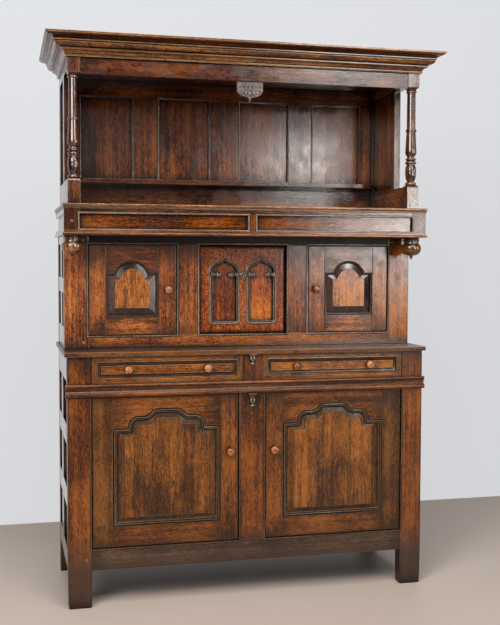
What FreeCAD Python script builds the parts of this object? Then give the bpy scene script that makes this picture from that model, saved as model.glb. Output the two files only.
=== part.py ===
import FreeCAD
import Part
import Sketcher
import math
import os
from types import SimpleNamespace

# A court cupboard of three stages in oak: a base with two doors and two drawers, a middle
# stage set back with two doors and a carved panel, and an open canopy on turned columns.
# X runs to the right, Y to the back and Z up. The origin is on the floor, under the middle
# of the whole outline.

sizes = {
    # the case as a whole
    "case_width": 1360,
    "case_depth": 518,
    "middle_setback": 146,
    "column_setback": 38,
    # joints between rails, posts, muntins and panels
    "tenon_length": 38,
    "stub_length": 14,
    "tenon_thick": 10,
    "tenon_shoulder": 9,
    "panel_tongue": 8,
    "panel_thick": 8,
    "peg_diameter": 9,
    "peg_length": 21,
    "peg_proud": 0.5,
    # boards that front and side frames share
    "front_rail_thick": 30,
    "side_rail_thick": 26,
    "side_muntin_width": 80,
    "back_post_width": 60,
    "back_post_depth": 45,
    "back_rail_thick": 24,
    "back_board_thick": 14,
    # base stage, from the floor up
    "base_post_width": 86,
    "base_post_depth": 50,
    "leg_height": 137,
    "bottom_rail_height": 80,
    "lower_door_opening": 551,
    "drawer_rail_height": 47,
    "drawer_opening": 100,
    "base_top_thick": 16,
    "base_top_overhang": 10,
    "lower_muntin_width": 102,
    "drawer_muntin_width": 76,
    "base_side_bottom_rail": 68,
    "base_side_middle_rail": 70,
    "base_side_top_rail": 93,
    "base_side_front_panel": 203,
    "floor_board_thick": 16,
    "floor_board_drop": 16,
    "drawer_rail_moulding": 10,
    "corbel_width": 30,
    "corbel_height": 42,
    "lower_corbel_height": 52,
    "corbel_depth": 14,
    # drawers and what they run on
    "drawer_gap": 1.5,
    "drawer_front_thick": 24,
    "drawer_back_clearance": 50,
    "drawer_side_thick": 12,
    "drawer_side_height": 84,
    "drawer_bottom_thick": 8,
    "drawer_bottom_rise": 6,
    "runner_thick": 20,
    "runner_width": 22,
    "runner_clearance": 0.3,
    "guide_clearance": 0.9,
    "guide_height": 35,
    # middle stage
    "middle_post_width": 89,
    "middle_post_depth": 45,
    "sill_height": 49,
    "middle_door_opening": 340,
    "middle_top_rail_height": 31,
    "middle_muntin_width": 88,
    "carved_opening_width": 344,
    "middle_side_bottom_rail": 81,
    "middle_side_middle_rail": 57,
    "middle_side_top_rail": 30,
    "middle_side_front_panel": 85,
    "carved_panel_thick": 18,
    "carved_panel_bevel": 20,
    "carved_panel_bevel_depth": 5,
    "carved_panel_setback": 6,
    "arch_light_width": 100,
    "arch_light_pitch": 146,
    "arch_light_foot": 56,
    "arch_springing": 178,
    "arch_rise": 68,
    "arch_depth": 10,
    # doors
    "door_gap": 1.5,
    "door_setback": 2,
    "door_thick": 24,
    "hinge_pin_diameter": 8,
    "hinge_pin_seat": 12,
    "hinge_pin_reach": 13,
    "pin_clearance": 0.05,
    "pin_end_clearance": 0.5,
    "field_thick": 7,
    "lower_hinge_stile": 74,
    "lower_lock_stile": 67,
    "lower_door_bottom_rail": 75,
    "lower_door_shoulder": 114,
    "lower_arch_first_rise": 44,
    "lower_arch_second_rise": 26,
    "lower_arch_shoulder": 54,
    "lower_arch_first_run": 34,
    "lower_arch_flat": 28,
    "lower_arch_second_run": 45,
    "lower_field_margin": 44,
    "lower_field_foot": 32,
    "lower_field_head": 27,
    "lower_field_shoulder": 46,
    "lower_field_first_rise": 36,
    "lower_field_corner": 10,
    "lower_field_flat": 36,
    "lower_field_second_rise": 24,
    "lower_field_second_run": 26,
    "middle_hinge_stile": 62,
    "middle_lock_stile": 67,
    "middle_door_bottom_rail": 66,
    "middle_door_shoulder": 104,
    "middle_arch_shoulder": 33,
    "middle_arch_rise": 46,
    "middle_field_margin": 34,
    "middle_field_foot": 36,
    "middle_field_head": 28,
    "middle_field_rise": 43,
    "middle_field_shoulder": 18,
    # knobs and turn buttons
    "knob_diameter": 30,
    "knob_reach": 27,
    "spindle_diameter": 10,
    "knob_clearance": 0.3,
    "button_thick": 10,
    "button_width": 18,
    "button_length": 104,
    "button_clearance": 0.5,
    "lower_knob_height": 552,
    "lower_knob_inset": 32,
    "middle_knob_height": 1150,
    "middle_knob_inset": 31,
    "drawer_knob_spacing": 292,
    # frieze
    "frieze_overhang": 8,
    "frieze_thick": 30,
    "frieze_height": 98,
    "frieze_low_rail": 23,
    "frieze_high_rail": 23,
    "frieze_end_block": 56,
    "frieze_centre_block": 37,
    "frieze_lip_height": 18,
    "frieze_lip_reach": 6,
    "frieze_crown_height": 18,
    "frieze_crown_reach": 6,
    "soffit_thick": 12,
    "canopy_floor_thick": 14,
    "pendant_diameter": 86,
    "pendant_height": 85,
    "pendant_inset": 33,
    "pendant_dowel": 12,
    # canopy
    "upper_inset": 8,
    "column_block": 46,
    "column_plinth_height": 93,
    "column_turned_height": 369,
    "column_head_height": 58,
    "upper_side_depth": 292,
    "upper_side_stile": 44,
    "upper_side_bottom_rail": 90,
    "upper_side_top_rail": 40,
    "upper_back_thick": 26,
    "upper_back_bottom_rail": 121,
    "upper_back_top_rail": 68,
    "upper_back_end_stile": 58,
    "upper_back_centre_muntin": 134,
    "upper_back_muntin": 112,
    "shelf_thick": 18,
    "shelf_depth": 102,
    "shelf_drop": 1,
    "shelf_corner": 80,
    "canopy_rail_thick": 26,
    "canopy_rail_setback": 3,
    "canopy_top_thick": 14,
    "cornice_height": 75,
    "cornice_reach": 78,
    "cornice_body": 26,
    "drop_width": 100,
    "drop_height": 76,
    "drop_thick": 16,
}

# Shares of a size that shape an edge or a curve, and tangents of a quarter turn of an arc.
knob_place_shares = (-0.5, 0.5)
nose_low_share = 0.4
nose_high_share = 0.5
nose_bulge = 0.3
moulding_overrun_share = 0.7
head_tenon_share = 0.34
step_bulge = 0.35
ogee_bulge = 0.22
arch_bulge = 0.32
field_corner_bulge = 0.35
light_waist_share = 0.45
light_waist_height_share = 0.6
light_shoulder_bulge = 0.3
light_tip_bulge = -0.18
drop_outline_shares = [
    (1, 0), (-1, 0), (-0.98, 0.42), (-0.8, 0.64, 0.25), (-0.32, 0.75, 0.12), (-0.12, 0.81, -0.2), (0, 1),
    (0.12, 0.81), (0.32, 0.75, -0.2), (0.8, 0.64, 0.12), (0.98, 0.42, 0.25),
]
mitre_box_share = 4
mitre_outside_share = 1.4


# A length carries its number and the words of the expression that gives it.
class Length:
    def __init__(self, words, number):
        self.words = words
        self.number = number

    def __add__(self, other):
        other = length(other)
        return Length(f"({self.words} + {other.words})", self.number + other.number)

    def __sub__(self, other):
        other = length(other)
        return Length(f"({self.words} - {other.words})", self.number - other.number)

    def __mul__(self, factor):
        return Length(f"({self.words} * {factor})", self.number * factor)

    def __truediv__(self, factor):
        return Length(f"({self.words} / {factor})", self.number / factor)

    def __neg__(self):
        return Length(f"(0 - {self.words})", -self.number)

    __radd__ = __add__
    __rmul__ = __mul__


def length(value):
    return value if isinstance(value, Length) else Length(str(value), float(value))


zero = length(0)
doc = FreeCAD.newDocument("court_cupboard")
sheet = doc.addObject("Spreadsheet::Sheet", "Sizes")
for row, (name, number) in enumerate(sizes.items(), start=1):
    sheet.set(f"A{row}", name)
    sheet.set(f"B{row}", str(number))
    sheet.setAlias(f"B{row}", name)
doc.recompute()
dim = SimpleNamespace(**{name: Length(f"Sizes.{name}", float(number)) for name, number in sizes.items()})
nodes = []


# Places that the stages share.
half_case = dim.case_width / 2
back = (dim.case_depth - dim.column_setback + dim.cornice_reach) / 2
front = back - dim.case_depth
middle_front = front + dim.middle_setback
column_front = front + dim.column_setback
board_front = back - dim.back_board_thick
back_rail_front = board_front - dim.back_rail_thick
back_post_front = back - dim.back_post_depth
back_post_inner = half_case - dim.back_post_width
half_frieze = half_case + dim.frieze_overhang
half_upper = half_case - dim.upper_inset
side_inner = half_case - dim.side_rail_thick
base_inner = half_case - dim.base_post_width
middle_inner = half_case - dim.middle_post_width
bottom_rail_top = dim.leg_height + dim.bottom_rail_height
drawer_rail_low = bottom_rail_top + dim.lower_door_opening
drawer_rail_top = drawer_rail_low + dim.drawer_rail_height
base_case_top = drawer_rail_top + dim.drawer_opening
base_top = base_case_top + dim.base_top_thick
sill_top = base_top + dim.sill_height
middle_rail_low = sill_top + dim.middle_door_opening
middle_top = middle_rail_low + dim.middle_top_rail_height
canopy_floor_low = middle_top + dim.frieze_height
canopy_floor = canopy_floor_low + dim.canopy_floor_thick
head_low = canopy_floor + dim.column_plinth_height + dim.column_turned_height
canopy_top = head_low + dim.column_head_height
door_mid_offset = dim.door_setback + dim.door_thick / 2


def bind(thing, path, value):
    thing.setExpression(path, length(value).words)


def place(thing, x, y, z):
    bind(thing, "Placement.Base.x", x)
    bind(thing, "Placement.Base.y", y)
    bind(thing, "Placement.Base.z", z)


def block(name, xs, ys, zs):
    solid = doc.addObject("Part::Box", name)
    bind(solid, "Length", xs[1] - xs[0])
    bind(solid, "Width", ys[1] - ys[0])
    bind(solid, "Height", zs[1] - zs[0])
    place(solid, xs[0], ys[0], zs[0])
    return solid


def upright(name, x, y, zs, diameter):
    solid = doc.addObject("Part::Cylinder", name)
    bind(solid, "Radius", diameter / 2)
    bind(solid, "Height", zs[1] - zs[0])
    place(solid, x, y, zs[0])
    return solid


def lying(name, x, ys, z, diameter):
    solid = doc.addObject("Part::Cylinder", name)
    bind(solid, "Radius", diameter / 2)
    bind(solid, "Height", ys[1] - ys[0])
    solid.Placement = FreeCAD.Placement(FreeCAD.Vector(), FreeCAD.Rotation(FreeCAD.Vector(1, 0, 0), 90))
    place(solid, x, ys[1], z)
    return solid


def compound(name, solids):
    group = doc.addObject("Part::Compound", name)
    group.Links = solids
    return group


def fuse(name, solids):
    joined = doc.addObject("Part::MultiFuse", name)
    joined.Shapes = solids
    return joined


def cut(name, solid, tools):
    result = doc.addObject("Part::Cut", name)
    result.Base = solid
    result.Tool = tools[0] if len(tools) == 1 else compound(name + "_tools", tools)
    return result


def node(label, solids):
    piece = solids[0] if len(solids) == 1 else compound(label, solids)
    piece.Label = label
    nodes.append(piece)


def across(side, near, far):
    return (near, far) if side > 0 else (-far, -near)


def middle_of(span):
    return (span[0] + span[1]) / 2


def around(centre, width):
    return (centre - width / 2, centre + width / 2)


def grown(span, reach):
    return (span[0] - reach, span[1] + reach)


def side_name(side):
    return "right" if side > 0 else "left"


# A closed outline in a sketch. Each point is (u, v) or (u, v, bulge), where the bulge is
# the tangent of a quarter of the angle that the arc from the point before turns.
def outline(body, role, offset, path):
    sketch = body.newObject("Sketcher::SketchObject", body.Name + "_outline")
    plane = next(feature for feature in body.Origin.OriginFeatures if feature.Role == role)
    sketch.AttachmentSupport = [(plane, "")]
    sketch.MapMode = "FlatFace"
    bind(sketch, "AttachmentOffset.Base.z", offset)
    points = [(length(point[0]), length(point[1])) for point in path]
    bulges = [point[2] if len(point) > 2 else 0 for point in path]
    ends = []
    for index, bulge in enumerate(bulges):
        start = FreeCAD.Vector(points[index - 1][0].number, points[index - 1][1].number, 0)
        stop = FreeCAD.Vector(points[index][0].number, points[index][1].number, 0)
        if bulge == 0:
            geometry = sketch.addGeometry(Part.LineSegment(start, stop), False)
            ends.append((geometry, 1, 2))
            continue
        turn = 4 * math.atan(bulge)
        chord = stop - start
        left = FreeCAD.Vector(-chord.y, chord.x, 0)
        centre = (start + stop) / 2 + left * (1 / (2 * math.tan(turn / 2)))
        first, last = (start, stop) if bulge > 0 else (stop, start)
        low = math.atan2(first.y - centre.y, first.x - centre.x)
        circle = Part.Circle(centre, FreeCAD.Vector(0, 0, 1), (first - centre).Length)
        geometry = sketch.addGeometry(Part.ArcOfCircle(circle, low, low + abs(turn)), False)
        ends.append((geometry, 1, 2) if bulge > 0 else (geometry, 2, 1))
        sketch.addConstraint(Sketcher.Constraint("Angle", geometry, abs(turn)))
    for index, (geometry, first, last) in enumerate(ends):
        following = ends[(index + 1) % len(ends)]
        sketch.addConstraint(
            Sketcher.Constraint("Coincident", geometry, last, following[0], following[1])
        )
        for axis, value in zip(("X", "Y"), points[index]):
            name = f"{axis}{index}"
            number = sketch.addConstraint(
                Sketcher.Constraint(f"Distance{axis}", -1, 1, geometry, last, value.number)
            )
            sketch.renameConstraint(number, name)
            sketch.setExpression(f"Constraints.{name}", value.words)
    return sketch


# A board cut to an outline: in XZ it runs between two depths, in YZ between two places
# across, and in XY between two heights.
def board(name, role, span, path):
    body = doc.addObject("PartDesign::Body", name + "_body")
    offset = -span[1] if role == "XZ_Plane" else span[0]
    sketch = outline(body, role, offset, path)
    pad = body.newObject("PartDesign::Pad", name + "_pad")
    pad.Profile = sketch
    bind(pad, "Length", span[1] - span[0])
    body.Tip = pad
    return body


# A turned piece about a standing axis, from points of radius and height.
def turned(name, path):
    body = doc.addObject("PartDesign::Body", name + "_body")
    sketch = outline(body, "XZ_Plane", zero, path)
    turning = body.newObject("PartDesign::Revolution", name + "_turning")
    turning.Profile = sketch
    turning.ReferenceAxis = (sketch, ["V_Axis"])
    turning.Angle = 360
    body.Tip = turning
    return body


# A rail or muntin with a tenon at each end, which also comes back alone as the cutter of
# the mortises. The frame lies across the thin axis.
def tenoned(name, spans, along, thin, reach):
    tenon_spans = {}
    for axis, span in spans.items():
        if axis == along:
            tenon_spans[axis] = grown(span, reach)
        elif axis == thin:
            tenon_spans[axis] = around(middle_of(span), dim.tenon_thick)
        else:
            tenon_spans[axis] = grown(span, -dim.tenon_shoulder)
    body = block(name + "_length", spans["x"], spans["y"], spans["z"])
    tenon = block(name + "_tenon", tenon_spans["x"], tenon_spans["y"], tenon_spans["z"])
    return fuse(name + "_joined", [body, tenon]), tenon


def front_rail(name, xs, ys, zs, reach=dim.tenon_length):
    return tenoned(name, {"x": xs, "y": ys, "z": zs}, "x", "y", reach)


def front_muntin(name, xs, ys, zs):
    return tenoned(name, {"x": xs, "y": ys, "z": zs}, "z", "y", dim.stub_length)


# The sides of a stage: rails between the posts, a muntin in each row and two panels.
def side_frame(stage, side, ys, rail_levels, front_panel):
    xs = across(side, side_inner, half_case)
    slab_xs = around(middle_of(xs), dim.panel_thick)
    muntin_ys = (ys[0] + front_panel, ys[0] + front_panel + dim.side_muntin_width)
    prefix = f"{stage}_side_{side_name(side)}"
    panels = []
    muntins = []
    muntin_tenons = []
    for row, (low, high) in enumerate(zip(rail_levels, rail_levels[1:])):
        zs = (low[1], high[0])
        slabs = []
        for column, panel_ys in enumerate([(ys[0], muntin_ys[0]), (muntin_ys[1], ys[1])]):
            slab_name = f"{prefix}_panel_{row}_{column}"
            slabs.append(
                block(slab_name, slab_xs, grown(panel_ys, dim.panel_tongue), grown(zs, dim.panel_tongue))
            )
        spans = {"x": xs, "y": muntin_ys, "z": zs}
        muntin, tenon = tenoned(f"{prefix}_muntin_{row}", spans, "z", "x", dim.stub_length)
        muntins.append(cut(f"{prefix}_muntin_{row}", muntin, slabs))
        muntin_tenons.append(tenon)
        panels.extend(slabs)
    rails = []
    tenons = []
    for row, zs in enumerate(rail_levels):
        spans = {"x": xs, "y": ys, "z": zs}
        rail, tenon = tenoned(f"{prefix}_rail_{row}", spans, "y", "x", dim.stub_length)
        near = muntin_tenons[max(row - 1, 0):row + 1] + panels[max(2 * row - 2, 0):2 * row + 2]
        rails.append(cut(f"{prefix}_rail_{row}", rail, near))
        tenons.append(tenon)
    return SimpleNamespace(rails=rails, muntins=muntins, panels=panels, cutters=tenons + panels)


def levels(start, end, heights):
    taken = heights[0]
    for height in heights[1:]:
        taken = taken + height
    gap = (end - start - taken) / (len(heights) - 1)
    spans = []
    low = start
    for height in heights:
        spans.append((low, low + height))
        low = low + height + gap
    return spans


def back_boards(label, zs, count):
    wide = back_post_inner * 2 / count
    boards = []
    for index in range(count):
        left = wide * index - back_post_inner
        boards.append(block(f"{label}_{index}", (left, left + wide), (board_front, back), zs))
    node(label, boards)


# Two rails between the back posts, which come back cut for them.
def back_rails(label, rail_levels):
    ys = (back_rail_front, board_front)
    rails = []
    tenons = []
    for index, zs in enumerate(rail_levels):
        rail, tenon = front_rail(
            f"{label}_{index}", (-back_post_inner, back_post_inner), ys, zs, dim.stub_length
        )
        rails.append(rail)
        tenons.append(tenon)
    return rails, tenons


def peg(name, x, y, z):
    ys = (y - dim.peg_proud, y + dim.peg_length)
    return lying(name, x, ys, z, dim.peg_diameter)


def hinge_pin(name, x, y, rail_edge, up):
    reach = dim.hinge_pin_seat if up > 0 else dim.hinge_pin_reach + dim.door_gap
    low_reach = dim.hinge_pin_reach + dim.door_gap if up > 0 else dim.hinge_pin_seat
    return upright(name, x, y, (rail_edge - low_reach, rail_edge + reach), dim.hinge_pin_diameter)


# Pins of one door, both at its outer edge, in the rail below and in the rail above.
def door_pins(stage, side, opening_edge, face, zs):
    x = (opening_edge - dim.door_gap - dim.door_thick / 2) * side
    y = face + door_mid_offset
    low = hinge_pin(f"{stage}_{side_name(side)}_pin_low", x, y, zs[0], -1)
    high = hinge_pin(f"{stage}_{side_name(side)}_pin_high", x, y, zs[1], 1)
    return low, high


lower_door_zs = (bottom_rail_top, drawer_rail_low)
middle_door_zs = (sill_top, middle_rail_low)
lower_pins = {
    side: door_pins("lower", side, base_inner, front, lower_door_zs) for side in (-1, 1)
}
middle_pins = {
    side: door_pins("middle", side, middle_inner, middle_front, middle_door_zs) for side in (-1, 1)
}
pins_low = [lower_pins[side][0] for side in (-1, 1)]
pins_drawer_rail = [lower_pins[side][1] for side in (-1, 1)]
pins_sill = [middle_pins[side][0] for side in (-1, 1)]
pins_top_rail = [middle_pins[side][1] for side in (-1, 1)]
node("hinge_pins", pins_low + pins_drawer_rail + pins_sill + pins_top_rail)


# Floor boards of the base run from front to back, in grooves of the bottom rails.
floor_zs = (
    bottom_rail_top - dim.floor_board_drop - dim.floor_board_thick,
    bottom_rail_top - dim.floor_board_drop,
)
floor_count = 5
floor_wide = base_inner * 2 / floor_count
floor_ys = (front + dim.front_rail_thick - dim.panel_tongue, back_rail_front + dim.panel_tongue)
floor_boards = []
for index in range(floor_count):
    left = floor_wide * index - base_inner
    floor_boards.append(block(f"floor_board_{index}", (left, left + floor_wide), floor_ys, floor_zs))
floor_strips = {}
for side in (-1, 1):
    xs = across(side, base_inner, side_inner)
    ys = (front + dim.base_post_depth, back_post_front)
    floor_strips[side] = block(f"floor_strip_{side_name(side)}", xs, ys, floor_zs)


# Base stage, front frame.
base_front_ys = (front, front + dim.front_rail_thick)
base_xs = (-base_inner, base_inner)
base_peg_z = dim.leg_height + dim.bottom_rail_height / 2
base_pegs = {}
for side in (-1, 1):
    x = (base_inner + dim.tenon_length / 2) * side
    base_pegs[side] = [peg(f"base_peg_{side_name(side)}", x, front, base_peg_z)]

bottom_rail, bottom_tenon = front_rail(
    "base_bottom_rail", base_xs, base_front_ys, (dim.leg_height, bottom_rail_top)
)
drawer_rail, drawer_tenon = front_rail(
    "base_drawer_rail", base_xs, base_front_ys, (drawer_rail_low, drawer_rail_top)
)
lower_muntin, lower_muntin_tenon = front_muntin(
    "base_lower_muntin",
    around(zero, dim.lower_muntin_width),
    base_front_ys,
    (bottom_rail_top, drawer_rail_low),
)
drawer_muntin = block(
    "base_drawer_muntin_block",
    around(zero, dim.drawer_muntin_width),
    base_front_ys,
    (drawer_rail_top, base_case_top),
)
all_base_pegs = base_pegs[-1] + base_pegs[1]
bottom_rail_tools = [lower_muntin_tenon] + pins_low + floor_boards + all_base_pegs
drawer_rail_tools = [lower_muntin_tenon] + pins_drawer_rail
node("base_bottom_rail", [cut("base_bottom_rail_cut", bottom_rail, bottom_rail_tools)])
node("base_drawer_rail", [cut("base_drawer_rail_cut", drawer_rail, drawer_rail_tools)])
node("base_muntins", [lower_muntin, drawer_muntin])

base_side_levels = levels(
    dim.leg_height,
    base_case_top,
    [
        dim.base_side_bottom_rail,
        dim.base_side_middle_rail,
        dim.base_side_middle_rail,
        dim.base_side_top_rail,
    ],
)
base_side_ys = (front + dim.base_post_depth, back_post_front)
base_sides = {
    side: side_frame("base", side, base_side_ys, base_side_levels, dim.base_side_front_panel)
    for side in (-1, 1)
}
base_back_levels = [(dim.leg_height, bottom_rail_top), (drawer_rail_low, base_case_top)]
base_back_rails, base_back_tenons = back_rails("base_back_rail", base_back_levels)
base_front_posts = []
base_back_posts = []
for side in (-1, 1):
    sides = base_sides[side]
    post_xs = across(side, base_inner, half_case)
    post_ys = (front, front + dim.base_post_depth)
    post = block(f"base_post_{side_name(side)}", post_xs, post_ys, (zero, base_case_top))
    tools = [bottom_tenon, drawer_tenon] + base_pegs[side] + sides.cutters
    base_front_posts.append(cut(f"base_post_{side_name(side)}_cut", post, tools))
    back_xs = across(side, back_post_inner, half_case)
    back_post_ys = (back_post_front, back)
    back_post = block(
        f"base_back_post_{side_name(side)}", back_xs, back_post_ys, (zero, base_case_top)
    )
    base_back_posts.append(
        cut(f"base_back_post_{side_name(side)}_cut", back_post, base_back_tenons + sides.cutters)
    )
node("base_front_posts", base_front_posts)
node("base_back_posts", base_back_posts)
for side in (-1, 1):
    sides = base_sides[side]
    node(f"base_side_frame_{side_name(side)}", sides.rails + sides.muntins)
node("base_side_panels", base_sides[-1].panels + base_sides[1].panels)
base_back_rail_low = cut("base_back_rail_low_cut", base_back_rails[0], floor_boards)
node("base_back_rails", [base_back_rail_low, base_back_rails[1]])
back_boards("base_back_boards", (dim.leg_height, base_case_top), 6)
node("base_floor_boards", floor_boards + [floor_strips[-1], floor_strips[1]])


# A moulding of the given section, (outward share, height share, bulge) from its foot.
def moulding(name, xs, face, zs, reach, section_shares):
    high = zs[1] - zs[0]
    path = []
    for point in section_shares:
        path.append((face - reach * point[0], zs[0] + high * point[1], *point[2:]))
    return board(name, "YZ_Plane", xs, path)


drawer_rail_section_shares = [
    (0, 0), (0.35, 0), (0.75, 0.08, 0.3), (1, 0.17, 0.3), (0.75, 0.3, 0.3), (0.4, 0.4, -0.3),
    (0.3, 0.62), (0.55, 0.7, -0.3), (0.7, 0.84), (0.35, 0.97, 0.4), (0.2, 1), (0, 1),
]
half_moulding = half_case + dim.drawer_rail_moulding * moulding_overrun_share
node(
    "drawer_rail_moulding",
    [
        moulding(
            "drawer_rail_moulding",
            (-half_moulding, half_moulding),
            front,
            (drawer_rail_low, drawer_rail_top),
            dim.drawer_rail_moulding,
            drawer_rail_section_shares,
        )
    ],
)

# The top of the base has a rounded nose in front and two plain boards behind.
half_top = half_case + dim.base_top_overhang
top_front = front - dim.base_top_overhang
top_boards_count = 3
top_wide = (back - top_front) / top_boards_count
nose = board(
    "base_top_nose",
    "YZ_Plane",
    (-half_top, half_top),
    [
        (top_front + dim.base_top_thick * nose_low_share, base_case_top, nose_bulge),
        (top_front + top_wide, base_case_top),
        (top_front + top_wide, base_top),
        (top_front + dim.base_top_thick * nose_high_share, base_top),
        (top_front, base_case_top + dim.base_top_thick * nose_high_share, nose_bulge),
    ],
)
top_boards = [nose]
for index in range(1, top_boards_count):
    ys = (top_front + top_wide * index, top_front + top_wide * (index + 1))
    top_boards.append(
        block(f"base_top_board_{index}", (-half_top, half_top), ys, (base_case_top, base_top))
    )
node("base_top_boards", top_boards)


# Carved corbels on the muntins: three tiers that step in towards the foot.
corbel_section_shares = [
    (0, 0), (0.3, 0), (0.55, 0.18, 0.3), (0.45, 0.36, 0.3), (0.75, 0.42), (0.85, 0.6, 0.25),
    (0.7, 0.72, 0.25), (1, 0.78), (1, 1), (0, 1),
]
corbels = []
corbel_zs = {
    "upper": (drawer_rail_top + dim.drawer_opening - dim.corbel_height, drawer_rail_top + dim.drawer_opening),
    "lower": (drawer_rail_low - dim.lower_corbel_height, drawer_rail_low),
}
for name, zs in corbel_zs.items():
    corbels.append(
        moulding(
            f"corbel_{name}", around(zero, dim.corbel_width), front, zs, dim.corbel_depth, corbel_section_shares
        )
    )
node("corbels", corbels)


# Runners under the drawers and guides beside them.
runner_zs = (drawer_rail_top - dim.runner_thick, drawer_rail_top)
guide_zs = (drawer_rail_top, drawer_rail_top + dim.guide_height)
run_ys = (front + dim.front_rail_thick, back_rail_front)
drawer_inner = dim.drawer_muntin_width / 2 + dim.drawer_gap
drawer_outer = base_inner - dim.drawer_gap
guide_half = drawer_inner - dim.guide_clearance
runner_half = drawer_inner + dim.drawer_side_thick + dim.runner_width
runners = [
    block("runner_centre", (-runner_half, runner_half), run_ys, runner_zs),
    block("guide_centre", (-guide_half, guide_half), run_ys, guide_zs),
]
outer_ys = (front + dim.base_post_depth, back_post_front)
for side in (-1, 1):
    name = side_name(side)
    inner_edge = drawer_outer - dim.drawer_side_thick - dim.runner_width
    runners.append(block(f"runner_{name}", across(side, inner_edge, base_inner), run_ys, runner_zs))
    guide_edge = drawer_outer + dim.guide_clearance
    strip_xs = across(side, base_inner, side_inner)
    runners.append(block(f"guide_{name}", across(side, guide_edge, side_inner), outer_ys, guide_zs))
    runners.append(block(f"runner_strip_{name}", strip_xs, outer_ys, runner_zs))
node("drawer_runners", runners)


# Knobs. The profile is in shares of the radius and the reach, from the seat outwards.
knob_shares = [
    (0.66, 0), (0.66, 0.12), (0.46, 0.24, -0.25), (0.5, 0.38, -0.2), (1, 0.66, 0.3),
    (0.7, 0.93, 0.25), (0.25, 1, 0.12), (0, 1),
]


def knob(name, spindle_reach):
    radius = dim.knob_diameter / 2
    spindle = dim.spindle_diameter / 2
    path = [(zero, -spindle_reach), (spindle, -spindle_reach), (spindle, zero)]
    for point in knob_shares:
        path.append((radius * point[0], dim.knob_reach * point[1], *point[2:]))
    return turned(name, path)


def face_forward(body, x, y, z):
    body.Placement = FreeCAD.Placement(FreeCAD.Vector(), FreeCAD.Rotation(FreeCAD.Vector(1, 0, 0), 90))
    place(body, x, y, z)


# Drawers: a front with a sunk border, sides, back and bottom, and two fixed knobs.
def drawer(side):
    name = f"{side_name(side)}_drawer"
    front_xs = across(side, drawer_inner, drawer_outer)
    front_zs = (drawer_rail_top + dim.drawer_gap, base_case_top - dim.drawer_gap)
    face = block(f"{name}_face", front_xs, (front, front + dim.drawer_front_thick), front_zs)
    box_front = front + dim.drawer_front_thick
    box_back = back_rail_front - dim.drawer_back_clearance
    low = drawer_rail_top + dim.runner_clearance
    side_zs = (low, low + dim.drawer_side_height)
    bottom_zs = (low + dim.drawer_bottom_rise, low + dim.drawer_bottom_rise + dim.drawer_bottom_thick)
    inner_xs = grown(front_xs, -dim.drawer_side_thick)
    groove = dim.drawer_side_thick / 2
    bottom = block(f"{name}_bottom", grown(inner_xs, groove), (box_front - groove, box_back), bottom_zs)
    walls = [
        block(f"{name}_side_near", (front_xs[0], inner_xs[0]), (box_front, box_back), side_zs),
        block(f"{name}_side_far", (inner_xs[1], front_xs[1]), (box_front, box_back), side_zs),
    ]
    back_zs = (bottom_zs[1], side_zs[1])
    back_wall = block(f"{name}_back", inner_xs, (box_back - dim.drawer_side_thick, box_back), back_zs)
    knobs = []
    seats = []
    for place_share in knob_place_shares:
        x = middle_of(front_xs) + dim.drawer_knob_spacing * place_share
        turning = knob(f"{name}_knob_{len(knobs)}", dim.drawer_front_thick)
        face_forward(turning, x, front, middle_of(front_zs))
        knobs.append(turning)
        seat = lying(
            f"{name}_seat_{len(seats)}", x, (front, box_front), middle_of(front_zs), dim.spindle_diameter
        )
        seats.append(seat)
    node(f"{name}_front", [cut(f"{name}_front_cut", face, [bottom] + seats)])
    cut_walls = [cut(f"{name}_wall_{index}", wall, [bottom]) for index, wall in enumerate(walls)]
    node(f"{name}_box", cut_walls + [back_wall, bottom])
    node(f"{name}_knobs", knobs)


drawer(-1)
drawer(1)


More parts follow.
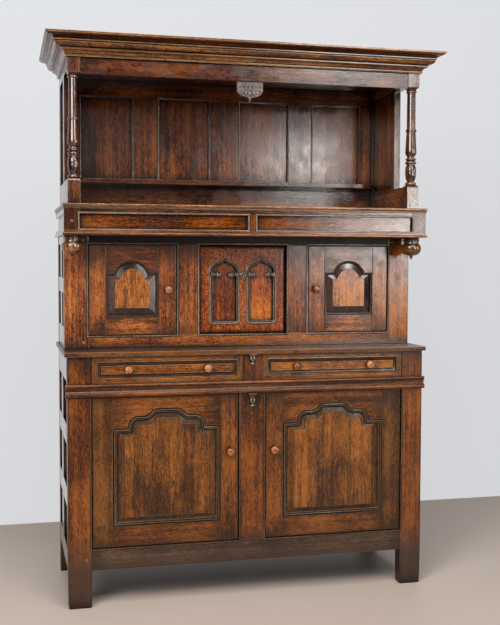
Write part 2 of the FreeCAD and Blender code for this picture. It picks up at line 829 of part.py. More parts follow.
# Doors. The frame is two stiles, a bottom rail and a shaped top rail, around a panel with
# a raised field. The hinge edge is rounded about the pins.
def door(stage, side, xs_edge, face, zs, shape):
    name = f"{stage}_{side_name(side)}"
    hinge_edge = xs_edge[1] - dim.door_gap
    lock_edge = xs_edge[0] + dim.door_gap
    pin_x = hinge_edge - dim.door_thick / 2
    ys = (face + dim.door_setback, face + dim.door_setback + dim.door_thick)
    door_zs = (zs[0] + dim.door_gap, zs[1] - dim.door_gap)
    low_rail_top = door_zs[0] + shape.bottom_rail
    open_near = lock_edge + shape.lock_stile
    open_far = hinge_edge - shape.hinge_stile
    shoulder = door_zs[1] - shape.shoulder
    slab_ys = around(middle_of(ys), dim.panel_thick)
    slab_zs = (low_rail_top - dim.panel_tongue, shape.arch_top(shoulder) + dim.panel_tongue)
    slab_xs = across(side, open_near - dim.panel_tongue, open_far + dim.panel_tongue)
    slab = block(f"{name}_slab", slab_xs, slab_ys, slab_zs)
    rail_xs = across(side, open_near, open_far)
    low_rail, low_tenon = front_rail(
        f"{name}_low_rail", rail_xs, ys, (door_zs[0], low_rail_top), dim.tenon_length
    )
    centre = (open_near + open_far) / 2
    half_open = (open_far - open_near) / 2
    head = board(f"{name}_head", "XZ_Plane", ys, [
        (centre * side + point[0], point[1], *point[2:])
        for point in shape.head(half_open, shoulder, door_zs[1])
    ])
    head_tenon = block(
        f"{name}_head_tenon",
        grown(rail_xs, dim.tenon_length),
        around(middle_of(ys), dim.tenon_thick),
        (slab_zs[1] + dim.tenon_shoulder * head_tenon_share, door_zs[1] - dim.tenon_shoulder),
    )
    top_rail = fuse(f"{name}_top_rail_joined", [head, head_tenon])
    pin_y = middle_of(ys)
    hinge_stile = block(f"{name}_hinge_stile", across(side, open_far, pin_x), ys, door_zs)
    round_edge = upright(f"{name}_round_edge", pin_x * side, pin_y, door_zs, dim.door_thick)
    stile = fuse(f"{name}_hinge_stile_joined", [hinge_stile, round_edge])
    bore = dim.hinge_pin_diameter + dim.pin_clearance * 2
    depth = dim.hinge_pin_reach + dim.pin_end_clearance
    bores = [
        upright(f"{name}_bore_low", pin_x * side, pin_y, (door_zs[0], door_zs[0] + depth), bore),
        upright(f"{name}_bore_high", pin_x * side, pin_y, (door_zs[1] - depth, door_zs[1]), bore),
    ]
    knob_x = (lock_edge + shape.knob_inset) * side
    knob_bore = lying(
        f"{name}_knob_bore", knob_x, ys, shape.knob_height, dim.spindle_diameter + dim.pin_clearance * 2
    )
    pegs = []
    for index, (peg_x, peg_z) in enumerate([
        (open_near - dim.tenon_length / 2, door_zs[0] + shape.bottom_rail / 2),
        (open_far + dim.tenon_length / 2, door_zs[0] + shape.bottom_rail / 2),
        (open_near - dim.tenon_length / 2, (slab_zs[1] + door_zs[1]) / 2),
        (open_far + dim.tenon_length / 2, (slab_zs[1] + door_zs[1]) / 2),
    ]):
        pegs.append(peg(f"{name}_peg_{index}", peg_x * side, ys[0], peg_z))
    lock_stile = block(f"{name}_lock_stile", across(side, lock_edge, open_near), ys, door_zs)
    joints = [low_tenon, head_tenon, slab] + pegs
    frame = [
        cut(f"{name}_hinge_stile_cut", stile, joints + bores),
        cut(f"{name}_lock_stile_cut", lock_stile, joints + [knob_bore]),
        cut(f"{name}_low_rail_cut", low_rail, [slab] + pegs[:2]),
        cut(f"{name}_top_rail_cut", top_rail, [slab] + pegs[2:]),
    ]
    node(f"{name}_door_frame", frame + pegs)
    field_path = shape.field(half_open, low_rail_top, shoulder)
    field_ys = (slab_ys[0] - dim.field_thick, slab_ys[0])
    field = board(f"{name}_field", "XZ_Plane", field_ys, [
        (centre * side + point[0], point[1], *point[2:]) for point in field_path
    ])
    node(f"{name}_door_panel", [fuse(f"{name}_panel_joined", [slab, field])])

    # the knob's spindle ends on the turn button, which swings behind the muntin
    muntin_back = face + dim.front_rail_thick
    button_front = muntin_back + dim.button_clearance
    knob_seat = ys[0] - dim.knob_clearance
    turning = knob(f"{name}_knob", button_front - knob_seat)
    face_forward(turning, knob_x, knob_seat, shape.knob_height)
    button = block(
        f"{name}_button",
        around(knob_x, dim.button_width),
        (button_front, button_front + dim.button_thick),
        around(shape.knob_height, dim.button_length),
    )
    node(f"{name}_knob", [turning, button])


# The head of a lower door: a stepped arch, the same on both sides of its middle.
def mirrored(path):
    right = [(x, z, *rest) for x, z, *rest in path]
    left = []
    for index in range(len(path) - 1, -1, -1):
        x, z = path[index][:2]
        bulge = path[index + 1][2] if index + 1 < len(path) and len(path[index + 1]) > 2 else 0
        left.append((-x, z, bulge))
    return right + left


def lower_head(half_open, shoulder, top):
    first_x = half_open - dim.lower_arch_shoulder
    first_z = shoulder + dim.lower_arch_first_rise
    second_x = first_x - dim.lower_arch_first_run - dim.lower_arch_flat
    half_run = dim.lower_arch_second_run / 2
    half_rise = dim.lower_arch_second_rise / 2
    return mirrored([
        (half_open, top),
        (half_open, shoulder),
        (first_x, shoulder),
        (first_x - dim.lower_arch_first_run, first_z, step_bulge),
        (second_x, first_z),
        (second_x - half_run, first_z + half_rise, -ogee_bulge),
        (second_x - half_run * 2, first_z + half_rise * 2, ogee_bulge),
    ])


def lower_field(half_open, foot, shoulder):
    edge = half_open - dim.lower_field_margin
    shoulder_z = shoulder - dim.lower_field_head
    first_x = edge - dim.lower_field_shoulder
    first_z = shoulder_z + dim.lower_field_first_rise
    second_x = first_x - dim.lower_field_corner - dim.lower_field_flat
    return mirrored([
        (edge, foot + dim.lower_field_foot),
        (edge, shoulder_z),
        (first_x, shoulder_z),
        (first_x - dim.lower_field_corner, first_z, field_corner_bulge),
        (second_x, first_z),
        (second_x - dim.lower_field_second_run, first_z + dim.lower_field_second_rise, -step_bulge),
    ])


def lower_arch_top(shoulder):
    return shoulder + dim.lower_arch_first_rise + dim.lower_arch_second_rise


# The head of a middle door: a round arch between two shoulders.
def middle_head(half_open, shoulder, top):
    spring = half_open - dim.middle_arch_shoulder
    return [
        (half_open, top),
        (half_open, shoulder),
        (spring, shoulder),
        (zero, shoulder + dim.middle_arch_rise, arch_bulge),
        (-spring, shoulder, arch_bulge),
        (-half_open, shoulder),
        (-half_open, top),
    ]


def middle_field(half_open, foot, shoulder):
    edge = half_open - dim.middle_field_margin
    low = foot + dim.middle_field_foot
    high = shoulder - dim.middle_field_head
    spring = edge - dim.middle_field_shoulder
    return [
        (edge, low),
        (edge, high),
        (spring, high),
        (zero, high + dim.middle_field_rise, arch_bulge),
        (-spring, high, arch_bulge),
        (-edge, high),
        (-edge, low),
    ]


def middle_arch_top(shoulder):
    return shoulder + dim.middle_arch_rise


lower_shape = SimpleNamespace(
    bottom_rail=dim.lower_door_bottom_rail,
    hinge_stile=dim.lower_hinge_stile,
    lock_stile=dim.lower_lock_stile,
    shoulder=dim.lower_door_shoulder,
    knob_inset=dim.lower_knob_inset,
    knob_height=dim.lower_knob_height,
    arch_top=lower_arch_top,
    head=lower_head,
    field=lower_field,
)
middle_shape = SimpleNamespace(
    bottom_rail=dim.middle_door_bottom_rail,
    hinge_stile=dim.middle_hinge_stile,
    lock_stile=dim.middle_lock_stile,
    shoulder=dim.middle_door_shoulder,
    knob_inset=dim.middle_knob_inset,
    knob_height=dim.middle_knob_height,
    arch_top=middle_arch_top,
    head=middle_head,
    field=middle_field,
)
carved_half = dim.carved_opening_width / 2
for side in (-1, 1):
    lower_xs = (dim.lower_muntin_width / 2, base_inner)
    middle_door_xs = (carved_half + dim.middle_muntin_width, middle_inner)
    door("lower", side, lower_xs, front, lower_door_zs, lower_shape)
    door("middle", side, middle_door_xs, middle_front, middle_door_zs, middle_shape)


# Middle stage, front frame with the carved panel between its muntins.
middle_ys = (middle_front, middle_front + dim.front_rail_thick)
middle_xs = (-middle_inner, middle_inner)
middle_pegs = []
for side in (-1, 1):
    x = (middle_inner + dim.tenon_length / 2) * side
    peg_rows = {"sill": (base_top + sill_top) / 2, "top": (middle_rail_low + middle_top) / 2}
    for row, z in peg_rows.items():
        middle_pegs.append(peg(f"middle_peg_{row}_{side_name(side)}", x, middle_front, z))
sill, sill_tenon = front_rail("middle_sill", middle_xs, middle_ys, (base_top, sill_top))
top_rail, top_tenon = front_rail(
    "middle_top_rail", middle_xs, middle_ys, (middle_rail_low, middle_top)
)
carved_ys = (
    middle_front + dim.carved_panel_setback,
    middle_front + dim.carved_panel_setback + dim.carved_panel_thick,
)
tongue_ys = around(middle_of(carved_ys), dim.panel_thick)
middle_zs = (sill_top, middle_rail_low)
carved_slab = block("carved_slab", (-carved_half, carved_half), carved_ys, middle_zs)
carved_tongue = block(
    "carved_tongue",
    grown((-carved_half, carved_half), dim.panel_tongue),
    tongue_ys,
    grown(middle_zs, dim.panel_tongue),
)

# The margins of its face slope back to the frame.
bevel_face = carved_ys[0]
bevel_back = carved_ys[0] + dim.carved_panel_bevel_depth
carved_bevels = []
for side in (-1, 1):
    edge = carved_half * side
    carved_bevels.append(
        board(
            f"carved_bevel_{side_name(side)}",
            "XY_Plane",
            middle_zs,
            [
                (edge - dim.carved_panel_bevel * side, bevel_face),
                (edge, bevel_face),
                (edge, bevel_back),
            ],
        )
    )
for row, (edge, turn) in {"low": (middle_zs[0], 1), "high": (middle_zs[1], -1)}.items():
    carved_bevels.append(
        board(
            f"carved_bevel_{row}",
            "YZ_Plane",
            (-carved_half, carved_half),
            [
                (bevel_face, edge + dim.carved_panel_bevel * turn),
                (bevel_face, edge),
                (bevel_back, edge),
            ],
        )
    )
muntins = []
muntin_tenons = []
for side in (-1, 1):
    muntin, tenon = front_muntin(
        f"middle_muntin_{side_name(side)}",
        across(side, carved_half, carved_half + dim.middle_muntin_width),
        middle_ys,
        middle_zs,
    )
    muntins.append(cut(f"middle_muntin_{side_name(side)}", muntin, [carved_tongue]))
    muntin_tenons.append(tenon)
node("middle_muntins", muntins)
sill_tools = muntin_tenons + [carved_tongue] + pins_sill + middle_pegs[::2]
node("middle_sill_rail", [cut("middle_sill_cut", sill, sill_tools)])
top_rail_tools = muntin_tenons + [carved_tongue] + pins_top_rail + middle_pegs[1::2]
node("middle_top_rail", [cut("middle_top_cut", top_rail, top_rail_tools)])

# Two sunk lights with pointed heads, cut into the face of the carved panel.
lights = []
for side in (-1, 1):
    centre = dim.arch_light_pitch / 2 * side
    half_light = dim.arch_light_width / 2
    foot = sill_top + dim.arch_light_foot
    spring = foot + dim.arch_springing
    waist = half_light * light_waist_share
    waist_z = spring + dim.arch_rise * light_waist_height_share
    lights.append(
        board(
            f"arch_light_{side_name(side)}",
            "XZ_Plane",
            (carved_ys[0], carved_ys[0] + dim.arch_depth),
            [
                (centre - half_light, foot),
                (centre + half_light, foot),
                (centre + half_light, spring),
                (centre + waist, waist_z, light_shoulder_bulge),
                (centre, spring + dim.arch_rise, light_tip_bulge),
                (centre - waist, waist_z, light_tip_bulge),
                (centre - half_light, spring, light_shoulder_bulge),
            ],
        )
    )
carved_blank = fuse("carved_blank", [carved_slab, carved_tongue])
node("carved_panel", [cut("carved_panel_cut", carved_blank, lights + carved_bevels)])

middle_side_levels = levels(
    base_top,
    middle_top,
    [dim.middle_side_bottom_rail, dim.middle_side_middle_rail, dim.middle_side_top_rail],
)
middle_side_ys = (middle_front + dim.middle_post_depth, back_post_front)
middle_back_levels = [
    (base_top, base_top + dim.sill_height),
    (middle_top - dim.sill_height, middle_top),
]
middle_back_rails, middle_back_tenons = back_rails("middle_back_rail", middle_back_levels)
middle_posts = []
middle_back_posts = []
side_frames = []
side_panels = []
for side in (-1, 1):
    name = side_name(side)
    sides = side_frame(
        "middle", side, middle_side_ys, middle_side_levels, dim.middle_side_front_panel
    )
    post_xs = across(side, middle_inner, half_case)
    post_ys = (middle_front, middle_front + dim.middle_post_depth)
    post = block(f"middle_post_{name}", post_xs, post_ys, (base_top, middle_top))
    tools = [sill_tenon, top_tenon] + middle_pegs + sides.cutters
    middle_posts.append(cut(f"middle_post_{name}_cut", post, tools))
    back_xs = across(side, back_post_inner, half_case)
    back_post_ys = (back_post_front, back)
    back_post = block(f"middle_back_post_{name}", back_xs, back_post_ys, (base_top, middle_top))
    middle_back_posts.append(
        cut(f"middle_back_post_{name}_cut", back_post, middle_back_tenons + sides.cutters)
    )
    side_frames.extend(sides.rails + sides.muntins)
    side_panels.extend(sides.panels)
node("middle_posts", middle_posts)
node("middle_side_frames", side_frames)
node("middle_side_panels", side_panels)
node("middle_back_frame", middle_back_posts + middle_back_rails)
back_boards("middle_back_boards", (base_top, middle_top), 6)


# Frieze: a long frame with two sunk panels, a lip below and a crown moulding above.
frieze_ys = (front, front + dim.frieze_thick)
frieze_inner = half_frieze - dim.frieze_end_block
half_centre = dim.frieze_centre_block / 2
panel_zs = (middle_top + dim.frieze_low_rail, canopy_floor_low - dim.frieze_high_rail)
frieze_panels = []
frieze_blocks = [
    block("frieze_centre_block", (-half_centre, half_centre), frieze_ys, panel_zs),
]
for side in (-1, 1):
    name = side_name(side)
    panel_xs = across(side, half_centre, frieze_inner)
    frieze_panels.append(
        block(
            f"frieze_panel_{name}",
            grown(panel_xs, dim.panel_tongue),
            around(middle_of(frieze_ys), dim.panel_thick),
            grown(panel_zs, dim.panel_tongue),
        )
    )
    frieze_blocks.append(
        block(f"frieze_end_{name}", across(side, frieze_inner, half_frieze), frieze_ys, panel_zs)
    )
frieze_rails = [
    block("frieze_rail_low", (-half_frieze, half_frieze), frieze_ys, (middle_top, panel_zs[0])),
    block("frieze_rail_high", (-half_frieze, half_frieze), frieze_ys, (panel_zs[1], canopy_floor_low)),
]
frieze_members = frieze_blocks + frieze_rails
frieze_side_ys = (front + dim.frieze_thick, back)
side_thick = dim.side_rail_thick
frieze_sides = [
    block(
        f"frieze_side_{side_name(side)}",
        across(side, half_frieze - side_thick, half_frieze),
        frieze_side_ys,
        (middle_top, canopy_floor_low),
    )
    for side in (-1, 1)
]
frieze_back = block(
    "frieze_back",
    (side_thick - half_frieze, half_frieze - side_thick),
    (back - dim.back_rail_thick, back),
    (middle_top + dim.soffit_thick, canopy_floor_low),
)
node(
    "frieze_frame",
    [
        cut(f"frieze_member_{index}", member, frieze_panels)
        for index, member in enumerate(frieze_members)
    ]
    + frieze_sides
    + [frieze_back],
)
node("frieze_panels", frieze_panels)

lip_section_shares = [(0, 0), (0.6, 0), (1, 0.3, 0.3), (1, 0.55), (0.35, 1, 0.3), (0, 1)]
crown_section_shares = [
    (0, 0), (0.35, 0), (0.45, 0.2, 0.3), (0.3, 0.4, 0.3), (0.8, 0.5), (1, 0.64, 0.3), (1, 0.84), (0.6, 1, 0.3), (0, 1),
]
lip_zs = (middle_top, middle_top + dim.frieze_lip_height)
crown_zs = (canopy_floor - dim.frieze_crown_height, canopy_floor)
half_crown = half_frieze + dim.frieze_lip_reach
crown_xs = (-half_crown, half_crown)
node(
    "frieze_mouldings",
    [
        moulding("frieze_lip", crown_xs, front, lip_zs, dim.frieze_lip_reach, lip_section_shares),
        moulding(
            "frieze_crown", crown_xs, front, crown_zs, dim.frieze_crown_reach, crown_section_shares
        ),
    ]
    + [
        block(f"frieze_{kind}_{side_name(side)}", across(side, half_frieze, half_crown), (front, back), zs)
        for kind, zs in (("lip_return", lip_zs), ("crown_return", crown_zs))
        for side in (-1, 1)
    ],
)

# Pendants turned with a squashed ball and a small finial, hung by a dowel.
column_x = half_upper - dim.column_block / 2
column_y = column_front + dim.column_block / 2
pendant_x = half_frieze - dim.pendant_inset
pendant_shares = [
    (0.12, 0), (0.2, 0.1, 0.3), (0.1, 0.22, 0.3), (0.3, 0.3), (1, 0.54, 0.25), (0.45, 0.86, 0.25),
    (0.35, 0.9), (0.62, 0.94, 0.3), (0.55, 1, 0.2),
]
pendants = []
dowel_holes = []
for side in (-1, 1):
    name = side_name(side)
    dowel_radius = dim.pendant_dowel / 2
    path = [(zero, -dim.pendant_height)]
    for point in pendant_shares:
        path.append(
            (dim.pendant_diameter / 2 * point[0], dim.pendant_height * (point[1] - 1), *point[2:])
        )
    path += [(dowel_radius, zero), (dowel_radius, dim.soffit_thick), (zero, dim.soffit_thick)]
    pendant = turned(f"pendant_{name}", path)
    place(pendant, pendant_x * side, column_y, middle_top)
    pendants.append(pendant)
    dowel_holes.append(
        upright(
            f"dowel_hole_{name}",
            pendant_x * side,
            column_y,
            (middle_top, middle_top + dim.soffit_thick),
            dim.pendant_dowel,
        )
    )
node("pendants", pendants)

soffit_inner = half_frieze - side_thick
soffit_zs = (middle_top, middle_top + dim.soffit_thick)
soffit_count = 2
soffit_wide = (back - frieze_side_ys[0]) / soffit_count
soffit = []
for index in range(soffit_count):
    ys = (frieze_side_ys[0] + soffit_wide * index, frieze_side_ys[0] + soffit_wide * (index + 1))
    soffit.append(block(f"soffit_{index}", (-soffit_inner, soffit_inner), ys, soffit_zs))
node("soffit_boards", [cut("soffit_front", soffit[0], dowel_holes)] + soffit[1:])

canopy_floor_count = 3
floor_deep = dim.case_depth / canopy_floor_count
canopy_boards = []
for index in range(canopy_floor_count):
    ys = (front + floor_deep * index, front + floor_deep * (index + 1))
    canopy_boards.append(
        block(f"canopy_floor_{index}", (-half_frieze, half_frieze), ys, (canopy_floor_low, canopy_floor))
    )
node("canopy_floor_boards", canopy_boards)


# Canopy: columns, sides, back, shelf, front rail and cornice.
upper_inner = half_upper - side_thick
column_back = column_front + dim.column_block
side_front = back - dim.upper_side_depth
side_low_zs = (canopy_floor, canopy_floor + dim.upper_side_bottom_rail)
side_high_zs = (canopy_top - dim.upper_side_top_rail, canopy_top)
column_turning_shares = [
    (0, 0), (0.9, 0), (0.97, 0.014, 0.3), (0.83, 0.027, 0.3), (0.63, 0.033, -0.2), (0.63, 0.043),
    (0.85, 0.081, 0.12), (0.9, 0.136, 0.08), (0.85, 0.19, 0.08), (0.7, 0.209, 0.2), (0.7, 0.217),
    (0.93, 0.233, 0.45), (0.7, 0.249, 0.45), (0.65, 0.257), (0.89, 0.27, 0.5), (0.62, 0.282, 0.5),
    (0.61, 0.298), (0.94, 0.352, 0.25), (0.92, 0.379, 0.05), (0.76, 0.556), (0.9, 0.569, 0.5),
    (0.75, 0.584, 0.5), (0.73, 0.596), (0.7, 0.959), (0.88, 0.973, 0.45), (0.69, 0.985, 0.45),
    (0.88, 0.994, 0.3), (0.72, 1, 0.2), (0, 1),
]
columns = []
side_members = []
upper_panels = []
for side in (-1, 1):
    name = side_name(side)
    xs = across(side, half_upper - dim.column_block, half_upper)
    ys = (column_front, column_back)
    plinth_zs = (canopy_floor, canopy_floor + dim.column_plinth_height)
    plinth = block(f"column_plinth_{name}", xs, ys, plinth_zs)
    head = block(f"column_head_{name}", xs, ys, (head_low, canopy_top))
    shaft = turned(
        f"column_shaft_{name}",
        [
            (dim.column_block / 2 * point[0], dim.column_turned_height * point[1], *point[2:])
            for point in column_turning_shares
        ],
    )
    place(shaft, column_x * side, column_y, canopy_floor + dim.column_plinth_height)
    frame_xs = across(side, upper_inner, half_upper)
    rail_ys = (column_back, back_post_front)
    low_spans = {"x": frame_xs, "y": rail_ys, "z": side_low_zs}
    high_spans = {"x": frame_xs, "y": rail_ys, "z": side_high_zs}
    low_rail, low_tenon = tenoned(f"upper_side_low_{name}", low_spans, "y", "x", dim.stub_length)
    high_rail, high_tenon = tenoned(f"upper_side_high_{name}", high_spans, "y", "x", dim.stub_length)
    stile_ys = (side_front, side_front + dim.upper_side_stile)
    stile, stile_tenon = tenoned(
        f"upper_side_stile_{name}",
        {"x": frame_xs, "y": stile_ys, "z": (side_low_zs[1], side_high_zs[0])},
        "z",
        "x",
        dim.stub_length,
    )
    panel = block(
        f"upper_side_panel_{name}",
        around(middle_of(frame_xs), dim.panel_thick),
        grown((stile_ys[1], back_post_front), dim.panel_tongue),
        grown((side_low_zs[1], side_high_zs[0]), dim.panel_tongue),
    )
    post = block(f"upper_back_post_{name}", frame_xs, (back_post_front, back), (canopy_floor, canopy_top))
    side_members += [
        cut(f"upper_side_low_{name}_cut", low_rail, [stile_tenon, panel]),
        cut(f"upper_side_high_{name}_cut", high_rail, [stile_tenon, panel]),
        cut(f"upper_side_stile_{name}_cut", stile, [panel]),
        cut(f"upper_back_post_{name}_cut", post, [low_tenon, high_tenon, panel]),
    ]
    upper_panels.append(panel)
    column = fuse(f"column_{name}_joined", [plinth, shaft, head])
    columns.append(cut(f"column_{name}_cut", column, [low_tenon, high_tenon]))
node("columns", columns)
node("upper_side_frames", side_members)
node("upper_side_panels", upper_panels)

back_ys = (back - dim.upper_back_thick, back)
back_low_zs = (canopy_floor, canopy_floor + dim.upper_back_bottom_rail)
back_high_zs = (canopy_top - dim.upper_back_top_rail, canopy_top)
field_zs = (back_low_zs[1], back_high_zs[0])
back_field_half = upper_inner - dim.upper_back_end_stile
centre_muntin_half = dim.upper_back_centre_muntin / 2
back_panel_wide = (back_field_half - centre_muntin_half - dim.upper_back_muntin) / 2
panel_starts = {
    "inner": centre_muntin_half,
    "outer": centre_muntin_half + back_panel_wide + dim.upper_back_muntin,
}
upper_back_panels = []
for side in (-1, 1):
    for place_name, start in panel_starts.items():
        upper_back_panels.append(
            block(
                f"upper_back_panel_{place_name}_{side_name(side)}",
                grown(across(side, start, start + back_panel_wide), dim.panel_tongue),
                around(middle_of(back_ys), dim.panel_thick),
                grown(field_zs, dim.panel_tongue),
            )
        )
uprights = []
upright_tenons = []
upright_spans = {"centre": around(zero, dim.upper_back_centre_muntin)}
for side in (-1, 1):
    near = centre_muntin_half + back_panel_wide
    upright_spans[f"inner_{side_name(side)}"] = across(side, near, near + dim.upper_back_muntin)
    upright_spans[f"end_{side_name(side)}"] = across(side, back_field_half, upper_inner)
for place_name, xs in upright_spans.items():
    muntin, tenon = front_muntin(f"upper_back_muntin_{place_name}", xs, back_ys, field_zs)
    uprights.append(cut(f"upper_back_muntin_{place_name}", muntin, upper_back_panels))
    upright_tenons.append(tenon)
back_xs = (-upper_inner, upper_inner)
back_rails_upper = [
    block("upper_back_rail_low", back_xs, back_ys, back_low_zs),
    block("upper_back_rail_high", back_xs, back_ys, back_high_zs),
]
node(
    "upper_back_frame",
    uprights
    + [
        cut(f"upper_back_rail_{index}", rail, upright_tenons + upper_back_panels)
        for index, rail in enumerate(back_rails_upper)
    ],
)
node("upper_back_panels", upper_back_panels)

shelf_top = field_zs[0] - dim.shelf_drop
shelf_front = back_ys[0] - dim.shelf_depth
quarter = math.tan(math.pi / 8)
shelf = board(
    "shelf",
    "XY_Plane",
    (shelf_top - dim.shelf_thick, shelf_top),
    [
        (-upper_inner, back_ys[0]),
        (-upper_inner, shelf_front + dim.shelf_corner),
        (dim.shelf_corner - upper_inner, shelf_front, quarter),
        (upper_inner - dim.shelf_corner, shelf_front),
        (upper_inner, shelf_front + dim.shelf_corner, quarter),
        (upper_inner, back_ys[0]),
    ],
)
node("shelf", [shelf])

rail_front = column_front + dim.canopy_rail_setback
column_inner = half_upper - dim.column_block
canopy_rail = block(
    "canopy_front_rail_block",
    (-column_inner, column_inner),
    (rail_front, rail_front + dim.canopy_rail_thick),
    (head_low, canopy_top),
)
node("canopy_front_rail", [canopy_rail])

# The drop under the middle of the rail is a shield with straight sides and a small pointed foot.
drop = board(
    "centre_drop",
    "XZ_Plane",
    around(rail_front + dim.canopy_rail_thick / 2, dim.drop_thick),
    [
        (dim.drop_width / 2 * point[0], head_low - dim.drop_height * point[1], *point[2:])
        for point in drop_outline_shares
    ],
)
node("centre_drop", [drop])

# The cornice is mitred at the front corners. Its section is in shares of reach and height.
cornice_section_shares = [
    (0.08, 0), (0.1, 0.12), (0.14, 0.14), (0.38, 0.32, -0.25), (0.42, 0.33), (0.42, 0.38),
    (0.5, 0.4), (0.72, 0.62, 0.3), (0.78, 0.63), (0.78, 0.69), (0.97, 0.85, -0.25), (1, 0.86),
    (1, 1),
]
cornice_zs = (canopy_top, canopy_top + dim.cornice_height)


def cornice_path(edge, outward):
    inner = edge - dim.cornice_body * outward
    path = [(inner, cornice_zs[0])]
    for point in cornice_section_shares:
        bulge = [share * outward for share in point[2:]]
        place_out = edge + dim.cornice_reach * point[0] * outward
        path.append((place_out, cornice_zs[0] + dim.cornice_height * point[1], *bulge))
    path.append((inner, cornice_zs[1]))
    return path


# A cutter whose face stands on the mitre line through a front corner.
def mitre_cutter(name, side, turn, run):
    cutter = doc.addObject("Part::Box", name)
    bind(cutter, "Length", dim.cornice_reach * mitre_box_share)
    bind(cutter, "Width", dim.cornice_reach * mitre_box_share)
    bind(cutter, "Height", dim.cornice_height)
    turning = FreeCAD.Rotation(FreeCAD.Vector(0, 0, 1), turn)
    cutter.Placement = FreeCAD.Placement(FreeCAD.Vector(), turning)
    place(cutter, (half_upper + run) * side, column_front - run, cornice_zs[0])
    return cutter


outer_half = half_upper + dim.cornice_reach
front_path = cornice_path(column_front, -1)
cornice_front = board("cornice_front", "YZ_Plane", (-outer_half, outer_half), front_path)
outside = dim.cornice_reach * mitre_outside_share
inside = -dim.cornice_reach
front_cutters = [
    mitre_cutter("mitre_front_right", 1, -45, inside),
    mitre_cutter("mitre_front_left", -1, 45, outside),
]
returns = []
for side, turn, run in ((1, 135, outside), (-1, 225, inside)):
    name = side_name(side)
    path = [
        (point[0] * side, point[1], *[bulge * side for bulge in point[2:]])
        for point in cornice_path(half_upper, 1)
    ]
    return_ys = (column_front - dim.cornice_reach, back)
    piece = board(f"cornice_return_{name}", "XZ_Plane", return_ys, path)
    returns.append(
        cut(f"cornice_return_{name}_cut", piece, [mitre_cutter(f"mitre_return_{name}", side, turn, run)])
    )
node("cornice", [cut("cornice_front_cut", cornice_front, front_cutters)] + returns)

canopy_top_count = 3
top_inner = half_upper - dim.cornice_body
top_ys = (column_front + dim.cornice_body, back)
top_deep = (top_ys[1] - top_ys[0]) / canopy_top_count
top_zs = (canopy_top, canopy_top + dim.canopy_top_thick)
canopy_tops = []
for index in range(canopy_top_count):
    ys = (top_ys[0] + top_deep * index, top_ys[0] + top_deep * (index + 1))
    canopy_tops.append(block(f"canopy_top_{index}", (-top_inner, top_inner), ys, top_zs))
node("canopy_top_boards", canopy_tops)
node("joint_pegs", all_base_pegs + middle_pegs)

doc.recompute()
for thing in doc.Objects:
    for state in ("Invalid", "Error"):
        if state in thing.State:
            raise RuntimeError(f"{thing.Name} is {state}")
for piece in nodes:
    if piece.Shape.isNull() or not piece.Shape.isValid():
        raise RuntimeError(f"{piece.Label} has no valid shape")
os.makedirs("parts", exist_ok=True)
for piece in nodes:
    piece.Shape.exportStep(f"parts/{piece.Label}.step")
print(len(nodes), "nodes")
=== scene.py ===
import bpy
import math
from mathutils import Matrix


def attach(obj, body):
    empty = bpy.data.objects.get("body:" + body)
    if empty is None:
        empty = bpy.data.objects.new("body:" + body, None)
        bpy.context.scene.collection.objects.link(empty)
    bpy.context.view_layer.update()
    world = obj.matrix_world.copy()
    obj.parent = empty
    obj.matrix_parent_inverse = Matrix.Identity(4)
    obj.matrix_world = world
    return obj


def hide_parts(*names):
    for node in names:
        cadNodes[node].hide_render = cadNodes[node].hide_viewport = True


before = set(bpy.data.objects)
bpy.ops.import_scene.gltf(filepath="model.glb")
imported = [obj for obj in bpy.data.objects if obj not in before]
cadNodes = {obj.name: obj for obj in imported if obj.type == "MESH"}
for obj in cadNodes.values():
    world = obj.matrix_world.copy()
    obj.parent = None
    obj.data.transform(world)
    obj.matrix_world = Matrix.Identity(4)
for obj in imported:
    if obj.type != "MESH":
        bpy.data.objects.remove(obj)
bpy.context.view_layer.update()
mm = 0.001
sides = {"left": -1, "right": 1}
print("frame loaded")


# Small helpers: selection, boards, outlines, sweeps and turnings

def deselectAll():
    if bpy.context.mode != "OBJECT":
        bpy.ops.object.mode_set(mode="OBJECT")
    bpy.ops.object.select_all(action="DESELECT")


def makeActive(piece):
    deselectAll()
    piece.select_set(True)
    bpy.context.view_layer.objects.active = piece


def leaveEdit():
    bpy.ops.object.mode_set(mode="OBJECT")


def editAll(piece):
    makeActive(piece)
    bpy.ops.object.mode_set(mode="EDIT")
    bpy.ops.mesh.select_all(action="SELECT")


def applyModifier(piece, kind, settings):
    makeActive(piece)
    modifier = piece.modifiers.new("shape", kind)
    for name, value in settings.items():
        setattr(modifier, name, value)
    bpy.ops.object.modifier_apply(modifier=modifier.name)


def joinParts(parts):
    makeActive(parts[0])
    for part in parts[1:]:
        part.select_set(True)
    if len(parts) > 1:
        bpy.ops.object.join()
    return bpy.context.active_object


def pick(piece, kind, rule):
    # selects vertices, edges or faces by their place, and leaves the piece in edit mode
    makeActive(piece)
    bpy.ops.object.mode_set(mode="EDIT")
    bpy.ops.mesh.select_mode(type=kind)
    bpy.ops.mesh.select_all(action="DESELECT")
    leaveEdit()
    points = piece.data.vertices
    if kind == "VERT":
        for point in points:
            point.select = rule(point.co)
    if kind == "EDGE":
        for edge in piece.data.edges:
            edge.select = rule(points[edge.vertices[0]].co, points[edge.vertices[1]].co)
    if kind == "FACE":
        for face in piece.data.polygons:
            face.select = rule(face.center, face.normal)
    bpy.ops.object.mode_set(mode="EDIT")


def atLevel(point, level):
    return abs(point.z - level) < 1e-5


def settle(piece):
    # puts the object's place, turn and size into its mesh
    makeActive(piece)
    bpy.ops.object.transform_apply(location=True, rotation=True, scale=True)


def addBlock(low, high):
    deselectAll()
    bpy.ops.mesh.primitive_cube_add(size=1, location=[(a + b) / 2 * mm for a, b in zip(low, high)])
    block = bpy.context.active_object
    block.scale = [(b - a) * mm for a, b in zip(low, high)]
    settle(block)
    return block


